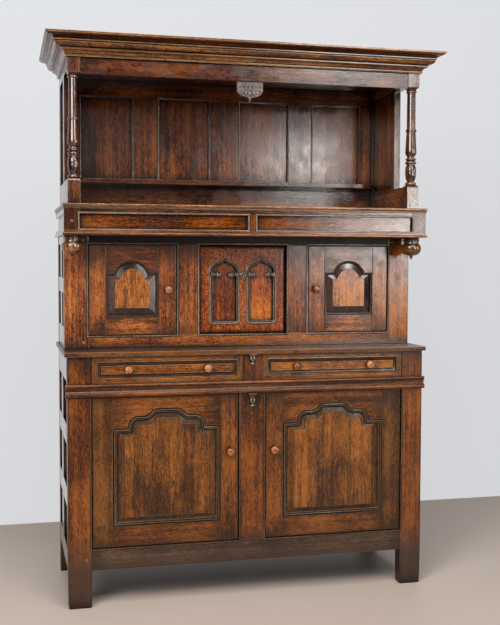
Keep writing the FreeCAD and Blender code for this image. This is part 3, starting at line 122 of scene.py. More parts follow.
def roundEdges(piece, width, segments=2):
    editAll(piece)
    bpy.ops.mesh.bevel(offset=width * mm, segments=segments, profile=0.6, clamp_overlap=True)
    leaveEdit()


def longAxis(low, high):
    spans = [b - a for a, b in zip(low, high)]
    return "xyz"[spans.index(max(spans))]


def measureBoard(board):
    # writes down how far each point lies from the board's middle, and half its size,
    # for the grime at the ends and edges; across its thickness it has none
    places = [point.co.copy() for point in board.data.vertices]
    low = [min(place[axis] for place in places) for axis in range(3)]
    high = [max(place[axis] for place in places) for axis in range(3)]
    half = [(b - a) / 2 for a, b in zip(low, high)]
    reach = [10 if size == min(half) else size for size in half]
    fromMiddle = board.data.attributes.new("boardPlace", "FLOAT_VECTOR", "POINT")
    halfSize = board.data.attributes.new("boardHalf", "FLOAT_VECTOR", "POINT")
    for index, place in enumerate(places):
        fromMiddle.data[index].vector = [c - (a + b) / 2 for c, a, b in zip(place, low, high)]
        halfSize.data[index].vector = reach


def addBoard(low, high, finish, wear=1.6, grain=None):
    low, high = [min(a, b) for a, b in zip(low, high)], [max(a, b) for a, b in zip(low, high)]
    board = addBlock(low, high)
    roundEdges(board, wear)
    measureBoard(board)
    board.data.materials.append(oak(finish, grain or longAxis(low, high)))
    return board


def mirrorBox(side, low, high):
    xs = sorted([low[0] * side, high[0] * side])
    return (xs[0], low[1], low[2]), (xs[1], high[1], high[2])


def nodeOf(name):
    return "".join("_" + letter.lower() if letter.isupper() else letter for letter in name)


def finishPiece(name, parts, angle=32, body="case", nodes=None):
    # a piece stands in for the node of its own name, unless others or none are given
    nodes = [nodeOf(name)] if nodes is None else nodes
    piece = joinParts(parts)
    piece.name = name
    piece.data.name = name
    settle(piece)
    bpy.ops.object.shade_smooth_by_angle(angle=math.radians(angle))
    applyModifier(piece, "WEIGHTED_NORMAL", {"weight": 100, "keep_sharp": True})  # keeps flat faces flat
    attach(piece, body)
    if nodes:
        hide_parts(*nodes)
    return piece


quarterBulge = 0.4142  # the third number of a point that ends a quarter circle


def roundedPath(points, closed=False, steps=6):
    # a point may carry a third number, the tangent of a quarter of its arc's angle
    path = []
    for index, point in enumerate(points):
        bulge = point[2] if len(point) > 2 else 0
        if bulge == 0 or (index == 0 and not closed):
            path.append((point[0], point[1]))
            continue
        x0, y0 = points[index - 1][:2]
        x1, y1 = point[:2]
        turn = 4 * math.atan(bulge)
        half = 1 / (2 * math.tan(turn / 2))
        cx = (x0 + x1) / 2 - (y1 - y0) * half
        cy = (y0 + y1) / 2 + (x1 - x0) * half
        start = math.atan2(y0 - cy, x0 - cx)
        radius = math.hypot(x0 - cx, y0 - cy)
        for step in range(1, steps + 1):
            angle = start + turn * step / steps
            path.append((cx + radius * math.cos(angle), cy + radius * math.sin(angle)))
    return path


def drawCurve(name, points, closed):
    curve = bpy.data.curves.new(name, "CURVE")
    curve.dimensions = "2D"
    curve.fill_mode = "NONE"
    spline = curve.splines.new("POLY")
    spline.points.add(len(points) - 1)
    for place, point in zip(spline.points, points):
        place.co = (point[0] * mm, point[1] * mm, 0, 1)
    spline.use_cyclic_u = closed
    drawn = bpy.data.objects.new(name, curve)
    bpy.context.scene.collection.objects.link(drawn)
    return drawn


def curveToMesh(drawn):
    makeActive(drawn)
    bpy.ops.object.convert(target="MESH")
    return bpy.context.active_object


# turns that stand a flat drawing up to face the front, or leave it lying, and those
# that stand a turning up or lay it down to face the front
facings = {"front": (90, 0, 0), "up": (0, 0, 0)}
standing, facingFront = (90, 0, 0), (180, 0, 0)


def standUp(piece, facing, place):
    piece.rotation_euler = [math.radians(angle) for angle in facings[facing]]
    piece.location = [value * mm for value in place]
    settle(piece)


def closeUp(piece):
    editAll(piece)
    bpy.ops.mesh.remove_doubles(threshold=0.00002)
    bpy.ops.mesh.normals_make_consistent(inside=False)
    leaveEdit()


def sweep(path, section, facing, place, closed=True):
    # runs a section of (sideways, out) points along a path, with mitred corners
    # left of the way is in a closed outline, out of one that is walked clockwise
    if not closed:  # an open curve takes its section the other way round
        section = [(-u, v) for u, v in section]
    profile = drawCurve("section", section, True)
    track = drawCurve("track", path, closed)
    track.data.bevel_mode = "OBJECT"
    track.data.bevel_object = profile
    track.data.use_fill_caps = not closed
    strip = curveToMesh(track)
    bpy.data.objects.remove(profile)
    closeUp(strip)
    standUp(strip, facing, place)
    closeUp(strip)
    return strip


def spin(points, steps=40):
    # turns (radius, height) points about the standing axis
    # the modifier keeps the order of its points from run to run, as Blender's spin step doesn't
    shape = curveToMesh(drawCurve("turning", points, False))
    applyModifier(shape, "SCREW", {"axis": "Y", "angle": math.tau, "steps": steps, "render_steps": steps})
    closeUp(shape)
    return shape


def wearEdges(piece, width, segments):
    sharp = {"limit_method": "ANGLE", "angle_limit": math.radians(40)}
    applyModifier(piece, "BEVEL", {"width": width * mm, "segments": segments, **sharp})


def turnAt(profile, steps, turn, place=(0, 0, 0)):
    # a turning, its foot at the place, turned by those degrees; facingFront stands it out of the front
    shape = spin(profile, steps)
    shape.rotation_euler = [math.radians(angle) for angle in turn]
    shape.location = [value * mm for value in place]
    settle(shape)
    return shape


def addBall(place, half, segments, rings):
    deselectAll()
    centre = [value * mm for value in place]
    bpy.ops.mesh.primitive_uv_sphere_add(segments=segments, ring_count=rings, location=centre)
    ball = bpy.context.active_object
    ball.scale = [value * mm for value in half]
    settle(ball)
    return ball


def cutBoard(outline, thick, facing, place, wear=0):
    # a board of that outline, its face at the place and its thickness behind it
    board = curveToMesh(drawCurve("outline", outline, True))
    editAll(board)
    bpy.ops.mesh.edge_face_add()
    bpy.ops.mesh.extrude_region_move(TRANSFORM_OT_translate={"value": (0, 0, -thick * mm)})
    leaveEdit()
    closeUp(board)
    if wear:
        wearEdges(board, wear, 2)
    standUp(board, facing, place)
    closeUp(board)
    return board


def fieldedPanel(loops, facing, place):
    # nested outlines, each with its height, bridged into one surface and filled in the middle
    rings = []
    for outline, height in loops:
        ring = curveToMesh(drawCurve("ring", outline, True))
        ring.location.z = height * mm
        settle(ring)
        rings.append(ring)
    panel = joinParts(rings)
    heights = [height * mm for outline, height in loops]
    for near, far in zip(heights, heights[1:]):
        pick(panel, "VERT", lambda co: atLevel(co, near) or atLevel(co, far))
        bpy.ops.mesh.bridge_edge_loops()
    pick(panel, "VERT", lambda co: atLevel(co, heights[-1]))
    bpy.ops.mesh.edge_face_add()
    leaveEdit()
    standUp(panel, facing, place)
    closeUp(panel)
    return panel


def rectangle(x0, z0, x1, z1):
    # from its low left corner to its high right one
    return [(x0, z0), (x1, z0), (x1, z1), (x0, z1)]


# Materials

def hexToLinear(code):
    shares = [int(code[index:index + 2], 16) / 255 for index in (1, 3, 5)]
    return [s / 12.92 if s <= 0.04045 else ((s + 0.055) / 1.055) ** 2.4 for s in shares] + [1]


def addNode(tree, kind, settings, links=()):
    node = tree.nodes.new("ShaderNode" + kind)
    for name, value in settings.items():
        if isinstance(name, str) and hasattr(node, name):
            setattr(node, name, value)
        else:
            node.inputs[name].default_value = value
    for name, source in links:
        tree.links.new(source, node.inputs[name])
    return node


def newMaterial(name):
    material = bpy.data.materials.new(name)
    material.use_nodes = True
    return material, material.node_tree, material.node_tree.nodes["Principled BSDF"]


def mathNode(tree, operation, links, constants=None, kind="Math"):
    return addNode(tree, kind, {"operation": operation, **(constants or {})}, links).outputs[0]


def objectPlace(tree):
    return addNode(tree, "TexCoord", {}).outputs["Object"]


def axisOf(tree, vector, axis):
    return addNode(tree, "SeparateXYZ", {}, [(0, vector)]).outputs[axis]


def noise(tree, place, settings):
    return addNode(tree, "TexNoise", settings, [("Vector", place)]).outputs["Fac"]


def mapRange(tree, source, limits):
    return addNode(tree, "MapRange", limits, [("Value", source)]).outputs[0]


def noiseRamp(tree, source, low, high):
    ramp = addNode(tree, "ValToRGB", {}, [("Fac", source)])
    ramp.color_ramp.elements[0].color = low
    ramp.color_ramp.elements[1].color = high
    return ramp.outputs[0]


# Old oak, planed by hand and waxed for centuries: darker in the corners, partly from dirt
# and partly as painted shade, and black in gaps as painted shade; pale on the edges that
# hands and dusters reach, partly from wear and partly as a painted highlight. Each part has
# aged to its own tone, but the shadow tone is painted shade, the top, bevel and inner tones
# hold painted shade, and the cusp tone a painted highlight. The tones are the dark grain,
# the ground, the pale grain and the rubbed edge with its painted highlight, and then come
# the roughness of the wax and its strength.
oakFinishes = {
    "base": ("#341605", "#763c11", "#9a571d", "#b07c48", 0.28, 0.3),
    "hinge": ("#2c1808", "#5e3814", "#865224", "#a87844", 0.3, 0.25),
    "door": ("#361b09", "#723e14", "#9c5a24", "#b07c48", 0.3, 0.25),
    "panel": ("#3c1f09", "#7f4a18", "#a86424", "#b88450", 0.3, 0.3),
    "mould": ("#1c0f07", "#4c2c14", "#75502e", "#b09068", 0.26, 0.4),
    "foot": ("#241810", "#5a402a", "#86684a", "#a88c6c", 0.45, 0.25),
    # top is greyer and darker than the wood in front of it, a painted shade and sheen on upward faces
    "top": ("#1c130f", "#463026", "#6c5244", "#b08c6c", 0.28, 0.45),
    "drawer": ("#481f09", "#985619", "#c27628", "#cf9a64", 0.24, 0.4),
    "middle": ("#421e0c", "#9e5320", "#c87a36", "#d09a64", 0.2, 0.45),
    # bevel paints the sloping faces round the middle doors' fields darker, as shade, and also serves their
    # mouldings
    "bevel": ("#180b08", "#452018", "#6e3c28", "#b08c70", 0.2, 0.5),
    "field": ("#6a3410", "#c4722e", "#e0944c", "#e8b484", 0.22, 0.4),
    "carved": ("#541a04", "#bc4e0a", "#e47e22", "#e0b070", 0.26, 0.3),
    "recess": ("#4c1e06", "#b4520e", "#e08426", "#d08c50", 0.26, 0.3),
    "bead": ("#3a2416", "#75563e", "#a48468", "#dccfbe", 0.2, 0.5),
    # cusp is pale grey, partly a painted highlight on small rounded parts
    "cusp": ("#3c2c22", "#84705c", "#b4a18c", "#ddd0c0", 0.2, 0.5),
    "frieze": ("#2e1306", "#7c3a0d", "#aa601e", "#c08c54", 0.11, 0.5),
    "crown": ("#3a1c0a", "#855020", "#bd8238", "#cf9e60", 0.2, 0.5),
    # shadow is no wood tone but painted shade, for gaps, quirks and rails under overhangs
    "shadow": ("#0c0704", "#1e120a", "#362214", "#54402c", 0.4, 0.2),
    "canopy": ("#220e06", "#562810", "#7c461c", "#9a7048", 0.16, 0.45),
    "back": ("#401d10", "#98552f", "#c0773e", "#b89470", 0.13, 0.5),
    # inner is a darker copy of back, for the canopy's sides and the back's rails: partly dirt, partly
    # painted shade
    "inner": ("#301509", "#744020", "#a0602f", "#b89470", 0.13, 0.5),
    "cornice": ("#2c150a", "#784620", "#b87c3c", "#e0b070", 0.18, 0.5),
    "turned": ("#6a3418", "#b86a3c", "#dc9c68", "#f0cca8", 0.18, 0.5),
    "column": ("#1a0c07", "#4e2816", "#7c4a28", "#ac8458", 0.14, 0.9),
    "pendant": ("#3a1f0c", "#84501f", "#b07a38", "#cfa468", 0.16, 0.8),
    "side": ("#32150a", "#7c4222", "#a2622f", "#b08a64", 0.08, 0.8),
    "drop": ("#2c2220", "#6a564e", "#948076", "#c8b8ae", 0.3, 0.5),
    "secondary": ("#33261b", "#6b5542", "#8d7459", "#9c8468", 0.7, 0.3),
}
footTone = "#443226"
# the dirt tone also paints the shade in corners, and the gap tone paints the black shade in gaps
dirtAndShadeTone = "#1a110b"
gapShadeTone = "#060403"
# width across the grain in mm, how much slower it changes along it, detail, and its
# weight in the tone; fibres are far coarser than real pores of 0.3 mm, to show at all
oakLayers = {
    "rings": (14, 0.025, 3, 0.85),
    "fibres": (3, 0.12, 4, 1.15),
    "flecks": (3.4, 0.5, 4, 1.1),
    "clouds": (170, 0.6, 5, 1.25),
    "stains": (40, 0.7, 9, 0),
    "marks": (4.5, 0.7, 4, 0),
    "hollows": (45, 0.5, 2, 0),
}
oakFigure = {
    "fleckTurn": 24,  # degrees that the flecks lean off the grain
    "corner": 40,     # mm that the darkening spreads out of a corner, partly dirt and partly painted shade
    "gapShade": 13,    # mm that the painted black shade of a gap spreads
    "rub": 3.2,       # mm that an edge is rubbed pale, with a painted highlight on it
    "end": 75,        # mm of a board's end that grime darkens
    "side": 9,        # mm beside a board's long edge
    "stamp": 6.5,     # mm from one stamped dot to the next
    "plank": 0.176,   # m, the width of the boards that a wide panel is glued from
    "plankLuck": 0.12,  # how far such a board's tone strays, and the next how far any board's does
    "luck": 0.02,
    "shift": (3.1, 7.7, 5.3),  # m, how far apart in the tree two boards are cut at most
    "bumps": [("hollows", 0.8), ("fibres", 0.5)],  # mm deep
    "bumpStrength": 0.4,
    "rough": 0.62,  # of the noises
    "stops": (0.24, 0.52, 0.76),  # where the ramp has the dark, the middle and the pale tone
    "polish": (-0.04, 0.09),  # how far the wax strays from its roughness
}
oakMade = {}


def oak(finish, grain="z", perBoard=True):
    key = (finish, grain, perBoard)
    if key not in oakMade:
        name = "waxedOak" + finish[0].upper() + finish[1:] + grain.upper() + ("" if perBoard else "Whole")
        oakMade[key] = makeOak(name, finish, grain, perBoard)
    return oakMade[key]


def edgeReach(tree, grain, noises, kind):
    # 0 at a board's end or long edge and 1 where its grime stops, uneven by a noise
    # pieces that aren't boards carry no half size and stay free of it
    own = addNode(tree, "Attribute", {"attribute_name": "boardPlace"}).outputs["Vector"]
    half = addNode(tree, "Attribute", {"attribute_name": "boardHalf"}).outputs["Vector"]
    away = mathNode(tree, "ABSOLUTE", [(0, own)], None, "VectorMath")
    inner = mathNode(tree, "SUBTRACT", [(0, half), (1, away)], None, "VectorMath")
    along = grain.upper()
    length = axisOf(tree, half, along)
    reach = axisOf(tree, inner, along)
    if kind == "side":
        across = [axisOf(tree, inner, axis) for axis in "XYZ".replace(along, "")]
        reach = mathNode(tree, "MINIMUM", enumerate(across))
    least, most = oakFigure[kind] * 0.2 * mm, oakFigure[kind] * 1.8 * mm
    limits = {"From Min": 0.3, "From Max": 0.7, "To Min": least, "To Max": most}
    uneven = mapRange(tree, noises["stains"], limits)
    share = mathNode(tree, "DIVIDE", [(0, reach), (1, uneven)])
    bare = mathNode(tree, "LESS_THAN", [(0, length)], {1: 0.001})
    return mathNode(tree, "ADD", [(0, share), (1, bare)])


def makeOak(name, finish, grain, perBoard):
    dark, middle, pale, worn, gloss, wax = oakFinishes[finish]
    material, tree, shader = newMaterial(name)
    geometry = addNode(tree, "NewGeometry", {})
    place = objectPlace(tree)
    height = axisOf(tree, place, "Z")
    tone = None
    if perBoard:  # every board is cut from its own part of the tree
        luck = geometry.outputs["Random Per Island"]
        tone = mapRange(tree, luck, {"To Min": -oakFigure["luck"], "To Max": oakFigure["luck"]})
        shift = mathNode(tree, "SCALE", [("Scale", luck)], {0: oakFigure["shift"]}, "VectorMath")
        place = mathNode(tree, "ADD", [(0, place), (1, shift)], None, "VectorMath")
    if finish == "panel":
        plank = mathNode(tree, "SNAP", [(0, axisOf(tree, place, "X"))], {1: oakFigure["plank"]})
        chance = addNode(tree, "TexWhiteNoise", {"noise_dimensions": "1D"}, [("W", plank)]).outputs["Value"]
        tone = mathNode(tree, "MULTIPLY_ADD", [(0, chance), (2, tone)], {1: oakFigure["plankLuck"] * 2})
        tone = mathNode(tree, "SUBTRACT", [(0, tone)], {1: oakFigure["plankLuck"]})
    noises = {}
    share = sum(weight for width, slow, detail, weight in oakLayers.values())
    for layer, (width, slow, detail, weight) in oakLayers.items():
        settings = {"Scale": [slow if axis == grain else 1 for axis in "xyz"]}
        if layer == "flecks":
            settings["Rotation"] = [math.radians(oakFigure["fleckTurn"])] * 3
        along = addNode(tree, "Mapping", settings, [("Vector", place)]).outputs[0]
        settings = {"Scale": 1000 / width, "Detail": detail, "Roughness": oakFigure["rough"]}
        noises[layer] = noise(tree, along, settings)
        if weight:
            links = [(0, noises[layer])] + ([(2, tone)] if tone else [])
            tone = mathNode(tree, "MULTIPLY_ADD", links, {1: weight, 2: (1 - share) / 2})
    if perBoard:
        tone = mathNode(tree, "ADD", [(0, tone)], {1: (1 - share) / 2})
    ramp = addNode(tree, "ValToRGB", {}, [("Fac", tone)])
    stops = ramp.color_ramp.elements
    first, between, last = oakFigure["stops"]
    stops[0].position, stops[0].color = first, hexToLinear(dark)
    stops[1].position, stops[1].color = last, hexToLinear(pale)
    stops.new(between).color = hexToLinear(middle)
    hidden = {}
    # occlusion at two reaches paints shade into the colour: in corners, partly as dirt, and black in gaps
    for reach in ("corner", "gapShade"):
        settings = {"samples": 8, "Distance": oakFigure[reach] * mm}
        hidden[reach] = addNode(tree, "AmbientOcclusion", settings).outputs["AO"]
    # edges turn to the pale worn tone, partly wear and partly a painted highlight
    rounded = addNode(tree, "Bevel", {"samples": 6, "Radius": oakFigure["rub"] * mm}).outputs[0]
    facing = [(0, rounded), (1, geometry.outputs["Normal"])]
    turned = addNode(tree, "VectorMath", {"operation": "DOT_PRODUCT"}, facing).outputs["Value"]
    colour = ramp.outputs[0]
    tints = [  # source, where its share is none, where it is most, the most, the tone
        (noises["stains"], 0.56, 0.7, 0.5, dirtAndShadeTone),
        (noises["marks"], 0.6, 0.68, 0.55, dirtAndShadeTone),
        (height, 0.27, 0.13, 0.92, footTone),
    ]
    if perBoard:
        tints += [
            (edgeReach(tree, grain, noises, "end"), 1, 0, 0.6, dirtAndShadeTone),
            (edgeReach(tree, grain, noises, "side"), 1, 0, 0.5, dirtAndShadeTone),
        ]
    if finish == "carved":  # rows of dots punched into the ground
        settings = {"Scale": 1000 / oakFigure["stamp"], "Randomness": 0.85}
        dots = addNode(tree, "TexVoronoi", settings, [("Vector", place)])
        tints.append((dots.outputs["Distance"], 0.34, 0.68, 0.8, dirtAndShadeTone))
    # corners darken, partly dirt and partly painted shade; edges turn pale, partly wear and partly a
    # painted highlight; gaps take a painted black shade
    tints += [
        (hidden["corner"], 0.92, 0.5, 0.85, dirtAndShadeTone),
        (turned, 0.985, 0.86, 0.65, worn),
        (hidden["gapShade"], 0.82, 0.42, 0.98, gapShadeTone),
    ]
    for source, none, most, share, tint in tints:
        weight = mapRange(tree, source, {"From Min": none, "From Max": most, "To Max": share})
        settings = {"data_type": "RGBA", 7: hexToLinear(tint)}
        colour = addNode(tree, "Mix", settings, [(0, weight), (6, colour)]).outputs[2]
    tree.links.new(colour, shader.inputs["Base Color"])
    least, most = [gloss + stray for stray in oakFigure["polish"]]
    polish = {"From Min": 0.35, "From Max": 0.65, "To Min": least, "To Max": most}
    tree.links.new(mapRange(tree, noises["stains"], polish), shader.inputs["Roughness"])
    shader.inputs["Specular IOR Level"].default_value = wax
    normal = None
    for layer, depth in oakFigure["bumps"]:
        links = [("Height", noises[layer])] + ([("Normal", normal)] if normal else [])
        settings = {"Strength": oakFigure["bumpStrength"], "Distance": depth * mm}
        normal = addNode(tree, "Bump", settings, links).outputs[0]
    tree.links.new(normal, shader.inputs["Normal"])
    return material


def wearOak(piece, finish, grain, perBoard=True):
    piece.data.materials.clear()
    piece.data.materials.append(oak(finish, grain, perBoard))
    return piece


def shadeFaces(piece, finish, grain, rule):
    # gives the faces that the rule picks a finish of their own, such as the painted black shade of a groove
    piece.data.materials.append(oak(finish, grain))
    last = len(piece.data.materials) - 1
    for face in piece.data.polygons:
        if rule(face.center, face.normal):
            face.material_index = last
    return piece


def shadeBand(piece, finish, grain, axis, low, high):
    # shades the faces whose middle lies between two levels, in mm
    return shadeFaces(piece, finish, grain, lambda centre, normal: low < getattr(centre, axis) / mm < high)


def makeIron():
    # forged iron, black from scale and soot, dull
    material, tree, shader = newMaterial("forgedIron")
    place = objectPlace(tree)
    # hammer scale in flakes of about 6 mm, 0.4 mm deep
    scale = noise(tree, place, {"Scale": 180, "Detail": 5})
    colour = noiseRamp(tree, scale, hexToLinear("#1b1917"), hexToLinear("#4a4440"))
    tree.links.new(colour, shader.inputs["Base Color"])
    bump = addNode(tree, "Bump", {"Strength": 0.4, "Distance": 0.0004}, [("Height", scale)])
    tree.links.new(bump.outputs[0], shader.inputs["Normal"])
    shader.inputs["Metallic"].default_value = 1
    shader.inputs["Roughness"].default_value = 0.55
    return material


# Boards that several stages share

def bothSides(low, high):
    return [mirrorBox(side, low, high) for side in sides.values()]


def splitBoards(half, front, back, low, high):
    # three level boards side by side, from the front to the back
    seams = [front + (back - front) * share / 3 for share in range(4)]
    return [((-half, near, low), (half, far, high)) for near, far in zip(seams, seams[1:])]


def notFront(centre, normal):
    return normal.y > -0.8


def dressBoards(name, boards, finish, wear=1.6, black=False):
    parts = [addBoard(low, high, finish, wear) for low, high in boards]
    if black:  # painted black shade in the gaps beside the doors and drawers
        for board in parts:
            shadeFaces(board, "shadow", "z", notFront)
    return finishPiece(name, parts)


def sideBoards(side, values, finish):
    # level rails with an upright muntin between each two
    rails, (near, far) = values["rails"], values["thick"]
    (front, back), (start, end) = values["depth"], values["muntin"]
    boards = []
    for low, high in rails:
        boards.append(addBoard(*mirrorBox(side, (near, front, low), (far, back, high)), finish, 2))
    for below, above in zip(rails, rails[1:]):
        box = mirrorBox(side, (near, start, below[1]), (far, end, above[0]))
        boards.append(addBoard(*box, finish, 2, "z"))
    return boards


def sidePanelBoards(values):
    # each panel runs some way into the grooves of the rails and posts around it
    rails, (near, far), groove = values["rails"], values["panels"], values["groove"]
    (front, back), (start, end) = values["depth"], values["muntin"]
    boards = []
    for below, above in zip(rails, rails[1:]):
        low, high = below[1] - groove, above[0] + groove
        boards += bothSides((near, front - groove, low), (far, start + groove, high))
        boards += bothSides((near, end - groove, low), (far, back + groove, high))
    return boards


# a bead run round an opening, on the face of the wood that frames it
beadSection = [
    (-8.6, -1), (-8.6, 0), (-7.8, 0.2), (-7.2, -0.6), (-6.6, 0.8), (-5.2, 2.4), (-3.4, 2.8), (-1.6, 2.2),
    (-0.5, 0.4), (-0.3, -3), (-3, -3), (-3, -1),
]


def beadRound(outline, y, finish="bead"):
    # the step at the back of the bead is painted black as its shade
    bead = wearOak(sweep(outline, beadSection, "front", (0, y, 0)), finish, "z")
    return shadeFaces(bead, "shadow", "z", lambda centre, normal: centre.y / mm > y - 1.5)


def beadsRound(openings, y, finish="bead"):
    return [beadRound(rectangle(*corners), y, finish) for corners in openings]


def mirrorOutline(points):
    # completes an outline that is given from its foot up the right half
    right = list(points)
    left = []
    for index in range(len(right) - 1, -1, -1):
        bulge = right[index + 1][2] if index + 1 < len(right) and len(right[index + 1]) > 2 else 0
        left.append((-right[index][0], right[index][1], bulge))
    return roundedPath(right + left)


def shifted(outline, x):
    return [(point[0] + x, point[1]) for point in outline]


# Base stage

baseSide = {
    "rails": [(137, 205), (364, 434), (593, 663), (822, 915)],
    "muntin": (14, 94),
    "depth": (-189, 234),
    "thick": (654, 680),
    "panels": (663, 671),
    "groove": 8,
}
feet = {"worn": 150, "ankle": 36, "share": 0.95, "round": 7, "wear": 3}


def makeFrontPost(low, high):
    # the feet have worn and rotted round and narrower
    post = addBlock(low, high)
    for level in (feet["worn"], feet["ankle"]):
        editAll(post)
        bpy.ops.mesh.bisect(plane_co=(0, 0, level * mm), plane_no=(0, 0, 1))
        leaveEdit()
    for level, share in ((0, feet["share"]), (feet["ankle"], (1 + feet["share"]) / 2)):
        pick(post, "VERT", lambda co: atLevel(co, level * mm))
        bpy.ops.transform.resize(value=(share, share, 1))
        leaveEdit()
    pick(post, "EDGE", lambda a, b: atLevel(a, 0) and atLevel(b, 0))
    bpy.ops.mesh.bevel(offset=feet["round"] * mm, segments=4)
    leaveEdit()
    wearEdges(post, feet["wear"], 3)
    measureBoard(post)
    post.data.materials.append(oak("base", "z"))
    return post


# low and high corners of the boards; posts are given on the right and mirrored
baseBoards = {
    "frontPosts": ((594, -239, 0), (680, -189, 915)),
    "backPosts": ((620, 234, 0), (680, 279, 915)),
    "bottomRail": ((-594, -239, 137), (594, -209, 217)),
    "drawerRail": ((-594, -239, 768), (594, -209, 815)),
    "muntins": [((-51, -239, 217), (51, -209, 768)), ((-38, -239, 815), (38, -209, 915))],
    "doorOpenings": [(51, 217, 594, 768), (-594, 217, -51, 768)],
}
posts = [makeFrontPost(*box) for box in bothSides(*baseBoards["frontPosts"])]
finishPiece("baseFrontPosts", posts, angle=45)
dressBoards("baseBackPosts", bothSides(*baseBoards["backPosts"]), "base", wear=2)
dressBoards("baseBottomRail", [baseBoards["bottomRail"]], "foot", wear=2.8)
# the rail behind the moulding is painted black as its shade
dressBoards("baseDrawerRail", [baseBoards["drawerRail"]], "shadow")
dressBoards("baseMuntins", baseBoards["muntins"], "base", wear=2, black=True)
for label, side in sides.items():
    finishPiece("baseSideFrame" + label.capitalize(), sideBoards(side, baseSide, "side"))
dressBoards("baseSidePanels", sidePanelBoards(baseSide), "side", wear=0.8)

baseTop = {"half": 690, "front": -249, "back": 279, "low": 915, "high": 931}
baseNose = 6
parts = [addBoard(low, high, "top", 1) for low, high in splitBoards(**baseTop)]
front = (baseTop["front"] + 2) * mm
# the two long edges of the front, and then the whole face that they round
pick(parts[0], "EDGE", lambda a, b: a.y < front and b.y < front and abs(a.x - b.x) > 1)
bpy.ops.mesh.bevel(offset=baseNose * mm, segments=4)
leaveEdit()
# the forward faces of the nose take the paler drawer tone and the upper faces stay in the darker top tone:
# painted light and shade
shadeFaces(parts[0], "drawer", "x", lambda centre, normal: normal.y < -0.3)
finishPiece("baseTopBoards", parts)

# moulding along the drawer rail: a rounded foot, a hollow and a bead under a thin edge
drawerRail = {
    "half": 687,
    "face": -239,
    "foot": 768,
    "hollow": -240.3,  # the hollow behind this depth is painted dark as its shade
    "section": [
        (-1, 0), (3.5, 0), (7, 2.6), (9.2, 5.6), (10, 9), (9.6, 12.5), (7.8, 15.6), (4.6, 17.4),
        (3.4, 16.4), (2.4, 19), (0.6, 21.6), (0.4, 26), (1.4, 30), (3.4, 33), (2.6, 34), (5, 35.4),
        (7.4, 38), (8, 41), (7, 44), (4.6, 46.4), (2.4, 46.8), (-1, 47),
    ],
}
track = [(drawerRail["half"], drawerRail["face"]), (-drawerRail["half"], drawerRail["face"])]
mould = wearOak(sweep(track, drawerRail["section"], "up", (0, 0, drawerRail["foot"]), False), "base", "x")
hollow = drawerRail["hollow"]
# the hollow's forward faces take the darker mould tone: painted shade
shadeFaces(mould, "mould", "x", lambda centre, normal: centre.y / mm > hollow and normal.y < -0.3)
finishPiece("drawerRailMoulding", [mould])

beads = beadsRound(baseBoards["doorOpenings"], drawerRail["face"], "mould")
finishPiece("baseBeads", beads, nodes=[])

# corbels on the two muntins: two lobes side by side over a round one, under a block painted dark as the
# shade under the rail's moulding
corbel = {
    "half": 15,
    "zs": [(873, 915), (716, 768)],
    "face": -239,
    "blockFoot": 32,  # above the corbel's foot
    "cap": (7, 250),  # its height, and the depth that it reaches
    "neck": (0.7, 247),  # share of the half width, and depth
    # from side to side, height, half width and half height of each lobe
    "lobes": [(-5.4, 25.5, 6, 8.5), (5.4, 25.5, 6, 8.5), (0, 15.5, 6, 6), (0, 6, 9.4, 5.8)],
    "relief": 12,
    "groove": (14, 3),  # a groove painted dark as its shade, its height and half width
    "melt": 0.8,
}


def makeCorbel(foot, top):
    face, half, block = corbel["face"], corbel["half"], foot + corbel["blockFoot"]
    (capHigh, capReach), (neckShare, neckReach) = corbel["cap"], corbel["neck"]
    parts = [
        addBlock((-half, -capReach, top - capHigh), (half, face, top)),
        addBlock((-half * neckShare, -neckReach, block), (half * neckShare, face, top)),
    ]
    for x, z, wide, high in corbel["lobes"]:
        parts.append(addBall((x, face, foot + z), (wide, corbel["relief"], high), 24, 16))
    merged = joinParts(parts)
    applyModifier(merged, "REMESH", {"mode": "VOXEL", "voxel_size": corbel["melt"] * mm})
    applyModifier(merged, "SMOOTH", {"iterations": 2})
    wearOak(merged, "cusp", "z")
    height, spread = corbel["groove"]

    # the block and the groove take the darker mould tone: painted shade
    def dark(centre, normal):
        return centre.z / mm > block or abs(centre.z / mm - foot - height) < spread

    return shadeFaces(merged, "mould", "z", dark)


finishPiece("corbels", [makeCorbel(foot, top) for foot, top in corbel["zs"]], angle=60)
print("base stage")


# Knobs

# radius and height from the seat: a thin base ring, a neck and a mushroom head
knobProfile = [
    (0, 0), (11, 0), (11.4, 1.4), (11, 3), (9.6, 3.8), (8.8, 4.8), (7, 6.6, -0.15), (6.6, 9.4, -0.12),
    (9, 12, -0.1), (13.8, 15, 0.15), (15, 18.4, 0.2), (12.6, 23.4, 0.2), (7, 26.2, 0.12), (0, 27, 0.08),
]


def makeKnobs(name, places, body, node):
    first = turnAt(roundedPath(knobProfile, steps=4), 32, facingFront)
    wearOak(first, "turned", "y")
    parts = []
    for x, y, z in places:
        deselectAll()
        copy = first.copy()
        copy.data = first.data.copy()
        bpy.context.scene.collection.objects.link(copy)
        copy.location = (x * mm, y * mm, z * mm)
        settle(copy)
        parts.append(copy)
    bpy.data.objects.remove(first)
    return finishPiece(name, parts, 50, body, [node])


# Drawers

drawer = {
    "xs": (39.5, 592.5),
    "ys": (-239, -215),
    "zs": (816.5, 913.5),
    "knobs": (170, 462),
    "knobHeight": 865,
    "groove": (3, 12),  # mm behind the front, painted dark as the groove's shade
    # inset and rise in mm, from the edge inwards: a flat band with a scratched line and
    # a bead, a sunk groove and the raised field
    "steps": [
        (5, 0), (0.7, -1.2), (0.8, 1.2), (9, 0), (1, -2.4), (1, 2.6), (1.6, 0.5), (1, -0.8), (2.2, -6.4),
        (6.4, -0.8), (4.2, 6.6), (0.8, 0.4),
    ],
}


